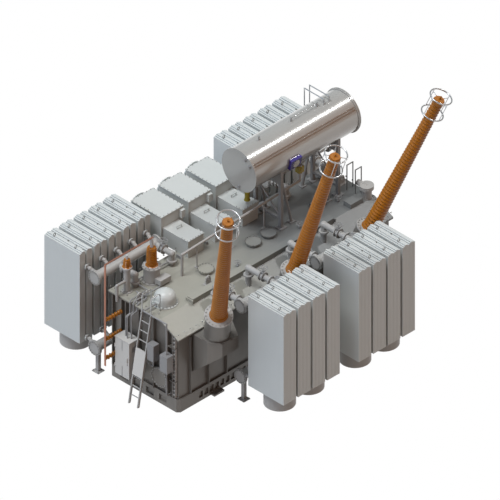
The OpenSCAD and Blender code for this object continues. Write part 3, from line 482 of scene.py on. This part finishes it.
def hood_bolt_places(index):
    """Where the bolts of a low-voltage hood are: on its low lid, its high lid and its round mouth."""
    x = LV_X + index * LV_PITCH
    inner, lid = TANK_W - LV_LOW_IN, TANK_TOP + LV_LOW_LID
    outer, top = TANK_W + LV_HIGH_OUT, LV_TOP
    places = []
    for dx in (LOW_LID_SIDE, LV_LOW_W + LOW_LID_SIDE):
        first, last = [spot(x + dx, inner + dy, lid) for dy in LOW_LID_ROW]
        places += line_places(first, last, LOW_LID_PITCH, UP)
    first, last = [spot(x + dx, inner, lid) for dx in LOW_LID_FRONT]
    places += line_places(first, last, LOW_LID_PITCH, UP)
    for dx in (0.0, LV_W):
        first, last = [spot(x + dx, outer + dy, top) for dy in HIGH_LID_SIDE]
        places += line_places(first, last, HIGH_LID_PITCH, UP)
    for dy in (0.0, LV_HIGH_L):
        first, last = [spot(x + dx, outer + dy, top) for dx in HIGH_LID_END]
        places += line_places(first, last, HIGH_LID_PITCH, UP)
    mouth = spot(x + LV_W / 2, outer + LV_HIGH_L + MOUTH_OUT, top - MOUTH_DOWN)
    return places + ring_places(mouth, (0, 1, 0), MOUTH_BOLTS_R, MOUTH_BOLTS)


def shade(value, factor):
    """A colour made darker or lighter."""
    return tuple(min(1.0, channel * factor) for channel in value)


def painted(name, base, rough=0.42, dirt=0.10, metal=0.0, cloud=1.4, coat=0.0, far=None):
    """Sprayed paint: faint clouds, run-off streaks and orange peel, and towards +X a far colour that paints
    shade.
    """
    s = Shader(name)
    clouds = s.noise(cloud, 4.0, 0.6)
    streaks = s.noise(1.0, 3.0, 0.55, s.stretch((9.0, 9.0, 0.5)))
    tone = s.mix(clouds, shade(base, 1.0 - dirt), shade(base, 1.0 + dirt))
    tone = s.mix((streaks - 0.5) * 0.5 + 0.25, tone, shade(base, 1.0 - 1.6 * dirt))
    # Painted shade: towards +X the tone turns to the far colour, which stands in for the shade over the
    # cover's far part
    if far:
        along = (s.axis("X") - PAINTED_SHADE_FROM) / PAINTED_SHADE_OVER
        tone = s.mix((along + (clouds - 0.5) * 0.5).saturate(), tone, far)
    s.set(Base_Color=tone, Roughness=rough + (clouds - 0.5) * 0.16, Metallic=metal, Coat_Weight=coat)
    s.bump(s.noise(160.0, 2.0), bpy.context.scene.dress_sizes.paint_bump, 0.004)
    return s.material


def glazed(name, base, bare, along, low, high):
    """Glazed porcelain, and its painted or bare ends below low and above high along its axis."""
    s = Shader(name)
    pool = s.noise(3.0, 3.0, 0.6)
    fine = s.noise(40.0, 2.0, 0.5)
    tone = s.mix(pool, shade(base, 0.78), shade(base, 1.25))
    tone = s.mix(fine * 0.35, tone, shade(base, 0.7))
    place = s.dot(s.coords, tuple(along))
    cap = (place.under(low) + place.over(high)).saturate()
    s.set(Base_Color=s.mix(cap, tone, bare), Roughness=0.26 + fine * 0.1 + cap * 0.2, Metallic=cap * 0.15,
          Coat_Weight=0.12 - cap * 0.12, Specular_IOR_Level=0.25)
    s.bump(fine, 0.04, 0.002)
    return s.material


def bare_metal(name, base, rough=0.34):
    """Brushed metal with a dulled film."""
    s = Shader(name)
    brushed = s.noise(1.0, 4.0, 0.6, s.stretch((4.0, 4.0, 220.0)))
    film = s.noise(5.0, 4.0, 0.6)
    s.set(Base_Color=s.mix(film, shade(base, 0.82), shade(base, 1.1)), Metallic=0.9,
          Roughness=rough + (brushed - 0.5) * 0.25)
    s.bump(brushed, 0.05, 0.002)
    return s.material


def ring_finish(name, base, head, foot, way):
    """Bare metal that turns to the colour of the bushing's head near its axis."""
    s = Shader(name)
    film = s.noise(5.0, 4.0, 0.6)
    rel = s.node("ShaderNodeVectorMath", {"operation": "SUBTRACT"}, {0: s.coords, 1: tuple(foot)}, "Vector")
    along = s.dot(rel, tuple(way))
    inner = (s.dot(rel, rel) - along * along).under(HEAD_R * HEAD_R)
    s.set(Base_Color=s.mix(inner, s.mix(film, shade(base, 0.82), shade(base, 1.1)), head),
          Metallic=0.9 - inner * 0.8, Roughness=0.34 + inner * 0.1)
    s.bump(film, 0.03, 0.002)
    return s.material


def layered(name, base, pitch):
    """Stacked or wound edges: fine lines one above the other."""
    s = Shader(name)
    wave = s.node("ShaderNodeTexWave", {"wave_type": "BANDS", "bands_direction": "Z"},
                  {"Vector": s.coords, "Scale": 1.0 / pitch, "Distortion": 0.4, "Detail": 2.0}, "Fac")
    s.set(Base_Color=s.mix(wave, shade(base, 0.6), shade(base, 1.15)), Roughness=0.55, Metallic=0.1)
    s.bump(wave, 0.35, 0.006)
    return s.material


def chosen(name):
    """The colour that the panel holds for a finish."""
    return tuple(getattr(bpy.context.scene.finish_colours, name))


def make_finishes():
    """The finishes that many pieces share, keyed by their plain names."""
    return {
        "paint": painted("tank_paint_grey", chosen("paint")),
        "hull": painted("tank_paint_dark", chosen("hull"), rough=0.38, dirt=0.14, metal=0.15),
        # The cover paint turns towards +X to a painted shade
        "pale": painted("cover_paint_pale", chosen("pale"), dirt=0.09, far=chosen("far_painted_shade")),
        "cabinet": painted("cabinet_paint", chosen("cabinet"), rough=0.40, dirt=0.05),
        "radiator": painted("radiator_paint", chosen("radiator"), rough=0.40, dirt=0.05, cloud=0.7),
        "conservator": painted("conservator_paint", chosen("conservator"), rough=0.24, dirt=0.05,
                               metal=0.25, cloud=0.8, coat=0.6),
        "frame": painted("frame_paint", chosen("frame"), rough=0.46, dirt=0.12),
        "porcelain": glazed("insulator_glaze", chosen("porcelain"), chosen("metal"), UP,
                            -OUT_OF_REACH, OUT_OF_REACH),
        "metal": bare_metal("ring_metal", chosen("metal")),
        "copper": bare_metal("bar_copper", chosen("copper"), rough=0.45),
        "winding": layered("winding_paper", chosen("winding"), pitch=0.05),
        "core": layered("core_sheets", chosen("core"), pitch=0.02),
        "gauge": painted("gauge_enamel", chosen("gauge"), rough=0.25, dirt=0.12, coat=0.6),
        "relay": painted("relay_paint", chosen("relay"), rough=0.38, dirt=0.15),
        "fan": painted("fan_paint", chosen("fan"), dirt=0.2),
        "zinc": bare_metal("bolt_zinc", chosen("zinc"), rough=0.42),
        "lid": painted("lid_paint", chosen("lid"), rough=0.40, dirt=0.05),
    }


def bushing_finishes():
    """Each bushing's and corona ring's own finish, keyed by its node."""
    porcelain = chosen("porcelain")
    made = {}
    for index in range(PHASES):
        number = index + 1
        foot, way = turret_axis(index)
        made[f"hv_bushing_{number}"] = glazed(f"hv_bushing_glaze_{number}", porcelain, chosen("paint"), way,
                                              foot.dot(way) + TURRET_LEN + LONG_FOOT, OUT_OF_REACH)
        made[f"corona_ring_{number}"] = ring_finish(f"corona_ring_metal_{number}", chosen("metal"),
                                                    shade(porcelain, 1.15), foot, way)
    for node in ("neutral_bushing", "small_bushing"):
        low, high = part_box(node)
        made[node] = glazed(node + "_glaze", porcelain, chosen("metal"), UP, low.z + SHORT_FOOT,
                            low.z + TERMINAL_SHARE * (high.z - low.z))
    return made


# The finish of each single node and of each numbered group of nodes, apart from the bushings and rings
NODE_FINISH = {
    "tank": "hull", "tank_cover": "pale", "core": "core", "core_clamps": "frame",
    # The conservator's bare metal rails run along its upper front flank and also paint the two bright
    # highlight lines there
    "conservator": "conservator", "conservator_trestles": "frame", "conservator_rails": "metal",
    "level_gauge": "gauge", "gas_relay": "relay", "oil_pipe": "paint",
    "neutral_turret": "paint", "small_turret": "paint", "earthing_bar": "copper",
    "bar_insulators": "porcelain",
    "control_cabinet": "cabinet", "cabinet_door": "cabinet", "ladder": "paint", "ladder_guard": "cabinet",
    "tap_changer": "lid", "tap_drive": "frame", "drive_shaft": "frame",
    "hatch_covers": "pale", "relief_hood": "paint",
}
GROUP_FINISH = {
    "winding": "winding", "hv_turret": "hull", "lv_hood": "lid", "headers": "paint",
    "radiators": "radiator", "fan_ducts": "paint", "fan_rotor": "fan",
}

# The finishes that have been made
FINISHES = {}


class DRESS_OT_finishes(Operator):
    """Makes every finish and puts it on the frame's pieces."""

    bl_idname = "dress.finishes"
    bl_label = "Finishes"

    def execute(self, context):
        FINISHES.update(make_finishes())
        FINISHES.update(bushing_finishes())
        for name in frame["nodes"]:
            group = name.rstrip("0123456789").rstrip("_")
            finish = name if name in FINISHES else NODE_FINISH.get(name) or GROUP_FINISH[group]
            piece = bpy.data.objects[name]
            piece.data.materials.clear()
            piece.data.materials.append(FINISHES[finish])
        return {"FINISHED"}


def deselect():
    """Nothing selected, in object mode."""
    if bpy.context.mode != "OBJECT":
        bpy.ops.object.mode_set(mode="OBJECT")
    bpy.ops.object.select_all(action="DESELECT")


def start(add, **settings):
    """Adds a primitive by itself and returns it."""
    deselect()
    add(**settings)
    return bpy.context.active_object


def pick_faces(piece, test):
    """Selects the faces that pass a test on their centre and normal."""
    bpy.ops.object.mode_set(mode="OBJECT")
    for one in (piece.data.vertices, piece.data.edges):
        for item in one:
            item.select = False
    for face in piece.data.polygons:
        face.select = test(face.center, face.normal)
    bpy.ops.object.mode_set(mode="EDIT")
    bpy.context.tool_settings.mesh_select_mode = (False, False, True)


def settle(piece):
    """Moves a piece's place into its mesh."""
    deselect()
    piece.select_set(True)
    bpy.context.view_layer.objects.active = piece
    bpy.ops.object.transform_apply(location=True, rotation=True, scale=True)
    return piece


def raised(piece, height):
    """Lifts a shape before it is joined."""
    piece.location.z = height
    return settle(piece)


def soften(piece, width):
    """Rounds a piece's sharp edges."""
    edge = piece.modifiers.new("soft_edge", "BEVEL")
    edge.width = width
    edge.segments = 2
    edge.limit_method = "ANGLE"
    bpy.context.view_layer.objects.active = piece
    bpy.ops.object.modifier_apply(modifier=edge.name)
    return piece


def joined(pieces):
    """Several pieces made one."""
    deselect()
    for piece in pieces:
        piece.select_set(True)
    bpy.context.view_layer.objects.active = pieces[0]
    bpy.ops.object.join()
    return settle(pieces[0])


def finish_piece(piece, name, finish, body=ROOT):
    """Names a piece, gives it its finish and lets it ride on its body."""
    piece.name = name
    piece.data.name = name
    piece.data.materials.clear()
    piece.data.materials.append(FINISHES[finish])
    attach(piece, body)


def copies(base, name, finish, places, body=ROOT):
    """Copies a base shape to many places as one piece, and removes the base."""
    points, faces = [], []
    corners = [vertex.co.copy() for vertex in base.data.vertices]
    shapes = [tuple(face.vertices) for face in base.data.polygons]
    for place in places:
        first = len(points)
        points.extend(place @ corner for corner in corners)
        faces.extend(tuple(first + index for index in shape) for shape in shapes)
    mesh = bpy.data.meshes.new(name)
    mesh.from_pydata([tuple(point) for point in points], [], faces)
    mesh.update()
    piece = bpy.data.objects.new(name, mesh)
    bpy.context.scene.collection.objects.link(piece)
    bpy.data.objects.remove(base)
    finish_piece(piece, name, finish, body)


def hex_bolt(width, height):
    """A hexagon head on its washer, with a bevelled crown, standing on Z = 0."""
    bolt = start(bpy.ops.mesh.primitive_cylinder_add, vertices=12, radius=0.72 * width, depth=0.2 * height,
                 location=(0.0, 0.0, 0.1 * height))
    pick_faces(bolt, lambda centre, normal: normal.z > 0.9)
    bpy.ops.mesh.inset(thickness=0.2 * width, depth=0.0)
    bpy.ops.mesh.extrude_region_move(TRANSFORM_OT_translate={"value": (0.0, 0.0, height)})
    bpy.ops.mesh.inset(thickness=0.09 * width, depth=0.12 * height)
    deselect()
    return settle(bolt)


def box_shape(x, y, z, edge=0.004):
    """A box of these sizes with rounded edges, standing on Z = 0."""
    piece = start(bpy.ops.mesh.primitive_cube_add, size=1.0, location=(0.0, 0.0, z / 2))
    piece.scale = (x, y, z)
    return soften(settle(piece), edge)


def drum_shape(radius, depth, edge=0.004, sides=32):
    """A round block with softened rims, standing on Z = 0."""
    drum = start(bpy.ops.mesh.primitive_cylinder_add, vertices=sides, radius=radius, depth=depth,
                 location=(0.0, 0.0, depth / 2))
    return soften(settle(drum), edge)


def eye_shape(radius, thickness, height, sides, steps):
    """A ring that stands on its edge, with its middle at a height."""
    eye = start(bpy.ops.mesh.primitive_torus_add, major_radius=radius, minor_radius=thickness,
                major_segments=sides, minor_segments=steps, location=(0.0, 0.0, height),
                rotation=(math.pi / 2, 0.0, 0.0))
    return settle(eye)


def rounded_path(points, bend):
    """The points of a path with every corner rounded."""
    points = [Vector(point) for point in points]
    path = [points[0]]
    for before, corner, after in zip(points, points[1:], points[2:]):
        back = (before - corner).normalized() * min(bend, (before - corner).length / 2)
        ahead = (after - corner).normalized() * min(bend, (after - corner).length / 2)
        for k in range(7):
            t = k / 6
            path.append(corner + back * (1 - t) ** 2 + ahead * t ** 2)
    return path + [points[-1]]


def tube_shape(points, radius, bend=0.08):
    """A pipe or cable along a path with rounded corners."""
    deselect()
    bpy.ops.curve.primitive_bezier_curve_add(location=(0.0, 0.0, 0.0))
    line = bpy.context.active_object
    line.data.splines.clear()
    path = rounded_path(points, bend)
    spline = line.data.splines.new("POLY")
    spline.points.add(len(path) - 1)
    for point, place in zip(spline.points, path):
        point.co = (*place, 1.0)
    line.data.dimensions = "3D"
    line.data.bevel_depth = radius
    line.data.bevel_resolution = 2
    line.data.use_fill_caps = True
    bpy.ops.object.convert(target="MESH")
    return settle(bpy.context.active_object)


def hand_wheel(radius):
    """A valve's hand wheel on its stem and bonnet, standing on Z = 0."""
    stem_h = 1.5 * radius
    bonnet = drum_shape(0.45 * radius, 0.5 * radius, 0.003)
    stem = drum_shape(0.10 * radius, stem_h, 0.002, 16)
    rim = settle(start(bpy.ops.mesh.primitive_torus_add, major_radius=radius, minor_radius=0.09 * radius,
                       major_segments=32, minor_segments=8, location=(0.0, 0.0, stem_h)))
    pieces = [bonnet, stem, rim]
    for k in range(3):
        spoke = start(bpy.ops.mesh.primitive_cylinder_add, vertices=8, radius=0.06 * radius,
                      depth=2 * radius, location=(0.0, 0.0, stem_h),
                      rotation=(math.pi / 2, 0.0, k * math.pi / 3))
        pieces.append(settle(spoke))
    return joined(pieces)


def valve_body():
    """A valve's body between its two flanges, standing on Z = 0."""
    flange_r, flange_t = 0.15, 0.03
    low = drum_shape(flange_r, flange_t)
    high = raised(drum_shape(flange_r, flange_t), 0.12)
    return joined([low, high, raised(drum_shape(0.105, 0.10), 0.025)])


def lifting_lug():
    """A lifting plate with its eye and its foot."""
    plate = box_shape(0.20, 0.04, 0.17, 0.006)
    return joined([plate, eye_shape(0.065, 0.028, 0.19, 32, 10), box_shape(0.30, 0.16, 0.016, 0.004)])


def breather_jar():
    """A glass jar of drying grains between its foot and its lid."""
    glass = drum_shape(0.075, 0.30, 0.01)
    return joined([glass, drum_shape(0.095, 0.03, 0.004), raised(drum_shape(0.095, 0.03, 0.004), 0.28)])


class DRESS_OT_fasteners(Operator):
    """Adds the bolts of the cover's rim and of the high-voltage bushings' flanges."""

    bl_idname = "dress.fasteners"
    bl_label = "Bolts"

    def execute(self, context):
        sizes = context.scene.dress_sizes
        low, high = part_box("tank_cover")
        inset = RIM_W / 2
        left, right = low.x + inset, high.x - inset
        front, back, top = low.y + inset, high.y - inset, high.z
        flat = low.y + RIM_W + SLOPE_IN
        edge = top - SLOPE_FALL * (flat - front)
        places = line_places((left, back, top), (right, back, top), sizes.bolt_pitch, UP)
        for x in (left, right):
            places += line_places((x, flat + RIM_ROW_START, top), (x, high.y - RIM_ROW_END, top),
                                  sizes.bolt_pitch, UP)
        places += line_places((left, front, edge), (right, front, edge), sizes.bolt_pitch, SLOPE_WAY)
        copies(hex_bolt(sizes.bolt_d, sizes.bolt_h), "cover_rim_bolts", "zinc", places)
        places = []
        for index in range(PHASES):
            foot, way = turret_axis(index)
            places += ring_places(foot + way * (TURRET_LEN + TURRET_FLANGE), way, FLANGE_BOLTS_R,
                                  FLANGE_BOLTS)
        copies(hex_bolt(sizes.bolt_d, sizes.bolt_h), "bushing_flange_bolts", "zinc", places)
        return {"FINISHED"}


class DRESS_OT_bank_fittings(Operator):
    """Adds flange bolts, valves, vents and lifting eyes to the radiator banks."""

    bl_idname = "dress.bank_fittings"
    bl_label = "Radiator fittings"

    def execute(self, context):
        sizes = context.scene.dress_sizes
        flanges, stubs, feet, wheels, bodies, eyes, vents = [], [], [], [], [], [], []
        for bank, (side, start_x, count, out, header_out) in enumerate(BANKS):
            first, last, far = collector_ends(bank)
            for z, end in ((HEADER_TOP, last), (HEADER_LOW, far)):
                for x, way in ((first, -1), (end, 1)):
                    flanges += ring_places(bank_point(bank, x, header_out, z), (way, 0, 0), HEADER_BOLTS_R,
                                           sizes.flange_bolts)
            for k in range(count):
                x = start_x + RAD_W / 2 + k * RAD_PITCH
                for z in (STUB_TOP, STUB_LOW):
                    stubs += ring_places(bank_point(bank, x, out - STUB_FACE, z), (0, -side, 0),
                                         STUB_BOLTS_R, STUB_BOLTS, math.pi / STUB_BOLTS)
                for share in EYE_SHARES:
                    y = out + share * RAD_LEN
                    eyes.append(at(bank_point(bank, x - RAD_W / 4, y, RAD_TOP - EYE_SUNK)))
                vents.append(at(bank_point(bank, x, out + 0.5 * RAD_LEN, RAD_TOP - VENT_SUNK)))
            for x in (first + POST_IN, far - POST_IN):
                for dx in (-FOOT_BOLT_OUT, FOOT_BOLT_OUT):
                    for dy in (-FOOT_BOLT_OUT, FOOT_BOLT_OUT):
                        feet.append(at(bank_point(bank, x + dx, header_out + dy, FOOT_TOP)))
            for x in tie_places(bank):
                middle = bank_point(bank, x, (header_out - TIE_IN) / 2, HEADER_TOP)
                wheels.append(at(middle + Vector((0, 0, WHEEL_UP))))
                bodies.append(at(middle - Vector((0, VALVE_L / 2, 0)), (0, 1, 0)))
        bolt = (sizes.bolt_d, sizes.bolt_h)
        copies(hex_bolt(*bolt), "collector_flange_bolts", "zinc", flanges)
        copies(hex_bolt(SMALL_BOLT * sizes.bolt_d, sizes.bolt_h), "radiator_flange_bolts", "zinc", stubs)
        copies(hex_bolt(*bolt), "post_foot_bolts", "zinc", feet)
        copies(hand_wheel(TIE_WHEEL_R), "tie_valve_wheels", "frame", wheels)
        copies(valve_body(), "tie_valve_bodies", "paint", bodies)
        copies(joined([eye_shape(0.042, 0.011, 0.046, 20, 8), box_shape(0.05, 0.03, 0.012)]),
               "radiator_lifting_eyes", "zinc", eyes)
        copies(joined([drum_shape(0.022, 0.03, 0.002, 6), drum_shape(0.012, 0.045, 0.002, 12)]),
               "radiator_vent_plugs", "zinc", vents)
        return {"FINISHED"}


class DRESS_OT_cover_fittings(Operator):
    """Adds the bolts of hatches, lids and turrets, the lifting lugs and the valves on the cover."""

    bl_idname = "dress.cover_fittings"
    bl_label = "Cover fittings"

    def execute(self, context):
        sizes = context.scene.dress_sizes
        places = []
        for x, y, height, radius, count in HATCH_RINGS + NEUTRAL_RINGS + SMALL_RINGS + TAP_RINGS:
            places += ring_places(spot(x, y, TANK_TOP + height), UP, radius, count)
        copies(hex_bolt(SMALL_BOLT * sizes.bolt_d, sizes.bolt_h), "cover_flange_bolts", "zinc", places)
        copies(hex_bolt(sizes.bolt_d, sizes.bolt_h), "manhole_bolts", "zinc",
               ring_places(spot(*MANHOLE), (-1, 0, 0), MANHOLE_BOLTS_R, MANHOLE_BOLTS))
        places = []
        for index in range(PHASES):
            places += hood_bolt_places(index)
        copies(hex_bolt(0.6 * sizes.bolt_d, 0.7 * sizes.bolt_h), "hood_bolts", "zinc", places)
        lugs = [at(spot(x, y, TANK_TOP - LUG_SUNK)) for x, y in LUGS]
        copies(lifting_lug(), "lifting_lugs", "paint", lugs)
        valves = [at(spot(x, y, TANK_TOP)) for x, y in COVER_VALVES]
        copies(hand_wheel(COVER_WHEEL_R), "cover_valves", "frame", valves)
        return {"FINISHED"}


class DRESS_OT_end_fittings(Operator):
    """Adds the cabinet's vents and lock, the conduits, the ladder's grab rails and the cable tray."""

    bl_idname = "dress.end_fittings"
    bl_label = "Cabinet and conduits"

    def execute(self, context):
        front = -RIB_D - CAB_D - DOOR_T
        middle = -RIB_D - 0.5 * CAB_D
        side_vents = [at(spot(middle, CAB_Y, CAB_Z + z), (0, -1, 0)) for z in SIDE_VENTS]
        copies(box_shape(0.20, 0.012, 0.006, 0.002), "cabinet_side_vents", "frame", side_vents)
        door_vents = [at(spot(front, CAB_Y + 0.5 * CAB_W, CAB_Z + z), (-1, 0, 0)) for z in DOOR_VENTS]
        copies(box_shape(0.012, 0.30, 0.006, 0.002), "door_vents", "frame", door_vents, DOOR)
        lock = at(spot(front, CAB_Y + LOCK_IN, CAB_Z + LOCK_UP), (-1, 0, 0))
        copies(drum_shape(0.016, 0.012, 0.002, 20), "door_lock", "zinc", [lock], DOOR)
        wire = context.scene.dress_sizes.wire
        pipes = [tube_shape([spot(*point) for point in route], wire) for route in CONDUITS]
        finish_piece(joined(pipes), "cabinet_conduits", "frame")
        stands = [at(spot(x, STAND_Y, TANK_TOP)) for x in STANDS_X]
        copies(box_shape(0.05, 0.20, 0.10, 0.004), "conduit_stands", "frame", stands)
        routes = [[spot(x, y, z) for x, z in GRAB_ROUTE] for y in GRABS_Y]
        rails = [tube_shape(route, GRAB_R, GRAB_BEND) for route in routes]
        finish_piece(joined(rails), "ladder_grab_rails", "metal")
        sides = [box_shape(0.09, 0.012, TRAY_H, 0.003) for _ in TRAY_SIDES_Y]
        for side, y in zip(sides, TRAY_SIDES_Y):
            side.location = spot(TRAY_X, y, TRAY_Z)
        finish_piece(joined([settle(side) for side in sides]), "cable_tray_sides", "paint")
        rungs = [at(spot(TRAY_X, TRAY_Y, RUNG_Z + RUNG_PITCH * k)) for k in range(RUNGS)]
        copies(box_shape(0.05, 0.095, 0.035, 0.003), "cable_tray_rungs", "paint", rungs)
        return {"FINISHED"}


class DRESS_OT_conservator_fittings(Operator):
    """Adds the conservator's end bolts and plugs, the gauge's dial and needle, and the breather."""

    bl_idname = "dress.conservator_fittings"
    bl_label = "Conservator fittings"

    def execute(self, context):
        sizes = context.scene.dress_sizes
        near = spot(CONS_X, CONS_Y, CONS_Z)
        far = spot(CONS_X + CONS_L + END_T, CONS_Y, CONS_Z)
        copies(hex_bolt(0.8 * sizes.bolt_d, sizes.bolt_h), "conservator_end_bolts", "zinc",
               ring_places(far, (1, 0, 0), END_BOLTS_R, END_BOLTS))
        plugs = []
        for angle in PLUG_ANGLES:
            turn = math.radians(angle)
            out = Vector((0.0, -math.cos(turn), math.sin(turn)))
            plugs.append(at(near + out * PLUGS_R, (-1, 0, 0)))
        copies(joined([drum_shape(0.035, 0.05, 0.004), drum_shape(0.055, 0.014, 0.003)]),
               "conservator_end_plugs", "frame", plugs)
        low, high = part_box("level_gauge")
        tilt = Vector((0.0, -math.cos(GAUGE_TILT), -math.sin(GAUGE_TILT)))
        face = Vector(((low.x + high.x) / 2, near.y, near.z)) + tilt * (CONS_R + GAUGE_OUT)
        dial = joined([drum_shape(0.12, 0.02, 0.004, 40), drum_shape(0.018, 0.034, 0.003, 20)])
        copies(dial, "gauge_dial", "lid", [at(face, tilt)])
        needle = box_shape(0.012, 0.10, 0.004, 0.001)
        copies(needle, "gauge_needle", "frame", [at(face + tilt * NEEDLE_OUT, tilt, NEEDLE_SPIN)])
        y = CONS_Y + BREATHER_OUT
        ends = [spot(BREATHER_X, y, z) for z in (BREATHER_TOP, BREATHER_LOW)]
        pipe = tube_shape(ends, BREATHER_R)
        finish_piece(pipe, "breather_pipe", "paint")
        copies(breather_jar(), "breather_jar", "relay", [at(spot(BREATHER_X, y, JAR_LOW))])
        return {"FINISHED"}


def seen_white(name, base):
    """A matt floor that the camera and mirrors see as white, and that keeps its shadow."""
    s = Shader(name)
    s.set(Base_Color=base, Roughness=1.0)
    path = s.tree.nodes.new("ShaderNodeLightPath")
    direct = Sock(s.tree, path.outputs["Is Camera Ray"])
    glossy = Sock(s.tree, path.outputs["Is Glossy Ray"])
    through = Sock(s.tree, path.outputs["Is Transmission Ray"])
    white = s.tree.nodes.new("ShaderNodeEmission")
    white.inputs["Strength"].default_value = 1.0
    mix = s.tree.nodes.new("ShaderNodeMixShader")
    s.feed(mix.inputs[0], (direct + glossy + through).saturate())
    s.tree.links.new(s.bsdf.outputs[0], mix.inputs[1])
    s.tree.links.new(white.outputs[0], mix.inputs[2])
    s.tree.links.new(mix.outputs[0], s.tree.nodes["Material Output"].inputs[0])
    return s.material


def sky_colour(tree):
    """Blue light from -X, warm light from -Y and nearly white light from above."""
    split = tree.nodes.new("ShaderNodeSeparateXYZ")
    tree.links.new(tree.nodes.new("ShaderNodeTexCoord").outputs["Generated"], split.inputs[0])
    seen = None
    for axis, tint in (("X", SKY_LEFT), ("Y", SKY_FRONT)):
        blend = tree.nodes.new("ShaderNodeMix")
        blend.data_type = "RGBA"
        share = (Sock(tree, split.outputs[axis]) * SKY_TURN).saturate()
        tree.links.new(share.out, blend.inputs[0])
        blend.inputs[6].default_value = SKY_ABOVE
        blend.inputs[7].default_value = tint
        if seen:
            tree.links.new(seen, blend.inputs[6])
        seen = blend.outputs[2]
    return seen


def studio_world(strength):
    """A world that lights with the sky's colours, and that the camera sees as white."""
    world = bpy.data.worlds.new("studio_world")
    world.use_nodes = True
    tree = world.node_tree
    sky = tree.nodes["Background"]
    tree.links.new(sky_colour(tree), sky.inputs["Color"])
    sky.inputs["Strength"].default_value = strength
    white = tree.nodes.new("ShaderNodeBackground")
    white.inputs["Strength"].default_value = 1.0
    path = tree.nodes.new("ShaderNodeLightPath")
    seen = tree.nodes.new("ShaderNodeMath")
    seen.operation = "MAXIMUM"
    tree.links.new(path.outputs["Is Camera Ray"], seen.inputs[0])
    tree.links.new(path.outputs["Is Transmission Ray"], seen.inputs[1])
    mix = tree.nodes.new("ShaderNodeMixShader")
    tree.links.new(seen.outputs[0], mix.inputs[0])
    tree.links.new(sky.outputs[0], mix.inputs[1])
    tree.links.new(white.outputs[0], mix.inputs[2])
    tree.links.new(mix.outputs[0], tree.nodes["World Output"].inputs[0])
    return world


def looking(name, data, direction):
    """An object of the stage whose Z points in a direction."""
    holder = bpy.data.objects.new(name, data)
    holder.rotation_mode = "QUATERNION"
    holder.rotation_quaternion = Vector(direction).to_track_quat("Z", "Y")
    bpy.context.scene.collection.objects.link(holder)
    return holder


class DRESS_OT_stage(Operator):
    """Adds the pale floor, the soft lights and the camera at the photograph's angle."""

    bl_idname = "dress.stage"
    bl_label = "Floor, lights and camera"

    def execute(self, context):
        sizes = context.scene.dress_sizes
        deselect()
        bpy.ops.mesh.primitive_plane_add(size=FLOOR_SIZE, location=(0.0, 0.0, FLOOR_Z))
        floor = context.active_object
        floor.name = "studio_floor"
        floor.data.materials.append(seen_white("studio_floor_white", FLOOR_COLOUR))
        context.scene.world = studio_world(sizes.sky)
        for name, direction, share, angle in LIGHTS:
            lamp = bpy.data.lights.new(name, "SUN")
            lamp.energy = share * sizes.sun
            lamp.angle = math.radians(angle)
            looking(name, lamp, direction)
        camera = bpy.data.cameras.new("photo_camera")
        camera.type = "ORTHO"
        camera.ortho_scale = sizes.view_width
        camera.clip_end = 200.0
        back = Vector(VIEW_BACK).normalized()
        holder = looking("photo_camera", camera, back)
        holder.location = Vector(VIEW_CENTRE) + back * VIEW_DISTANCE
        context.scene.camera = holder
        context.scene.view_settings.view_transform = "Standard"
        return {"FINISHED"}


class DRESS_PT_panel(Panel):
    """Lists the steps, the colours and the sizes in the sidebar."""

    bl_idname = "DRESS_PT_panel"
    bl_label = "Transformer"
    bl_space_type = "VIEW_3D"
    bl_region_type = "UI"
    bl_category = "Transformer"

    def draw(self, context):
        for step in STEPS:
            self.layout.operator(step.bl_idname, text=step.bl_label)
        for name in FinishColours.__annotations__:
            self.layout.prop(context.scene.finish_colours, name)
        for name in DressSizes.__annotations__:
            self.layout.prop(context.scene.dress_sizes, name)


STEPS = (DRESS_OT_finishes, DRESS_OT_fasteners, DRESS_OT_bank_fittings, DRESS_OT_cover_fittings,
         DRESS_OT_end_fittings, DRESS_OT_conservator_fittings, DRESS_OT_stage)
CLASSES = (FinishColours, DressSizes, *STEPS, DRESS_PT_panel)


def register():
    for one in CLASSES:
        bpy.utils.register_class(one)
    bpy.types.Scene.finish_colours = PointerProperty(type=FinishColours)
    bpy.types.Scene.dress_sizes = PointerProperty(type=DressSizes)


def unregister():
    del bpy.types.Scene.dress_sizes
    del bpy.types.Scene.finish_colours
    for one in reversed(CLASSES):
        bpy.utils.unregister_class(one)


def main():
    register()
    for step in STEPS:
        group, name = step.bl_idname.split(".")
        getattr(getattr(bpy.ops, group), name)()


if __name__ == "__main__":
    main()
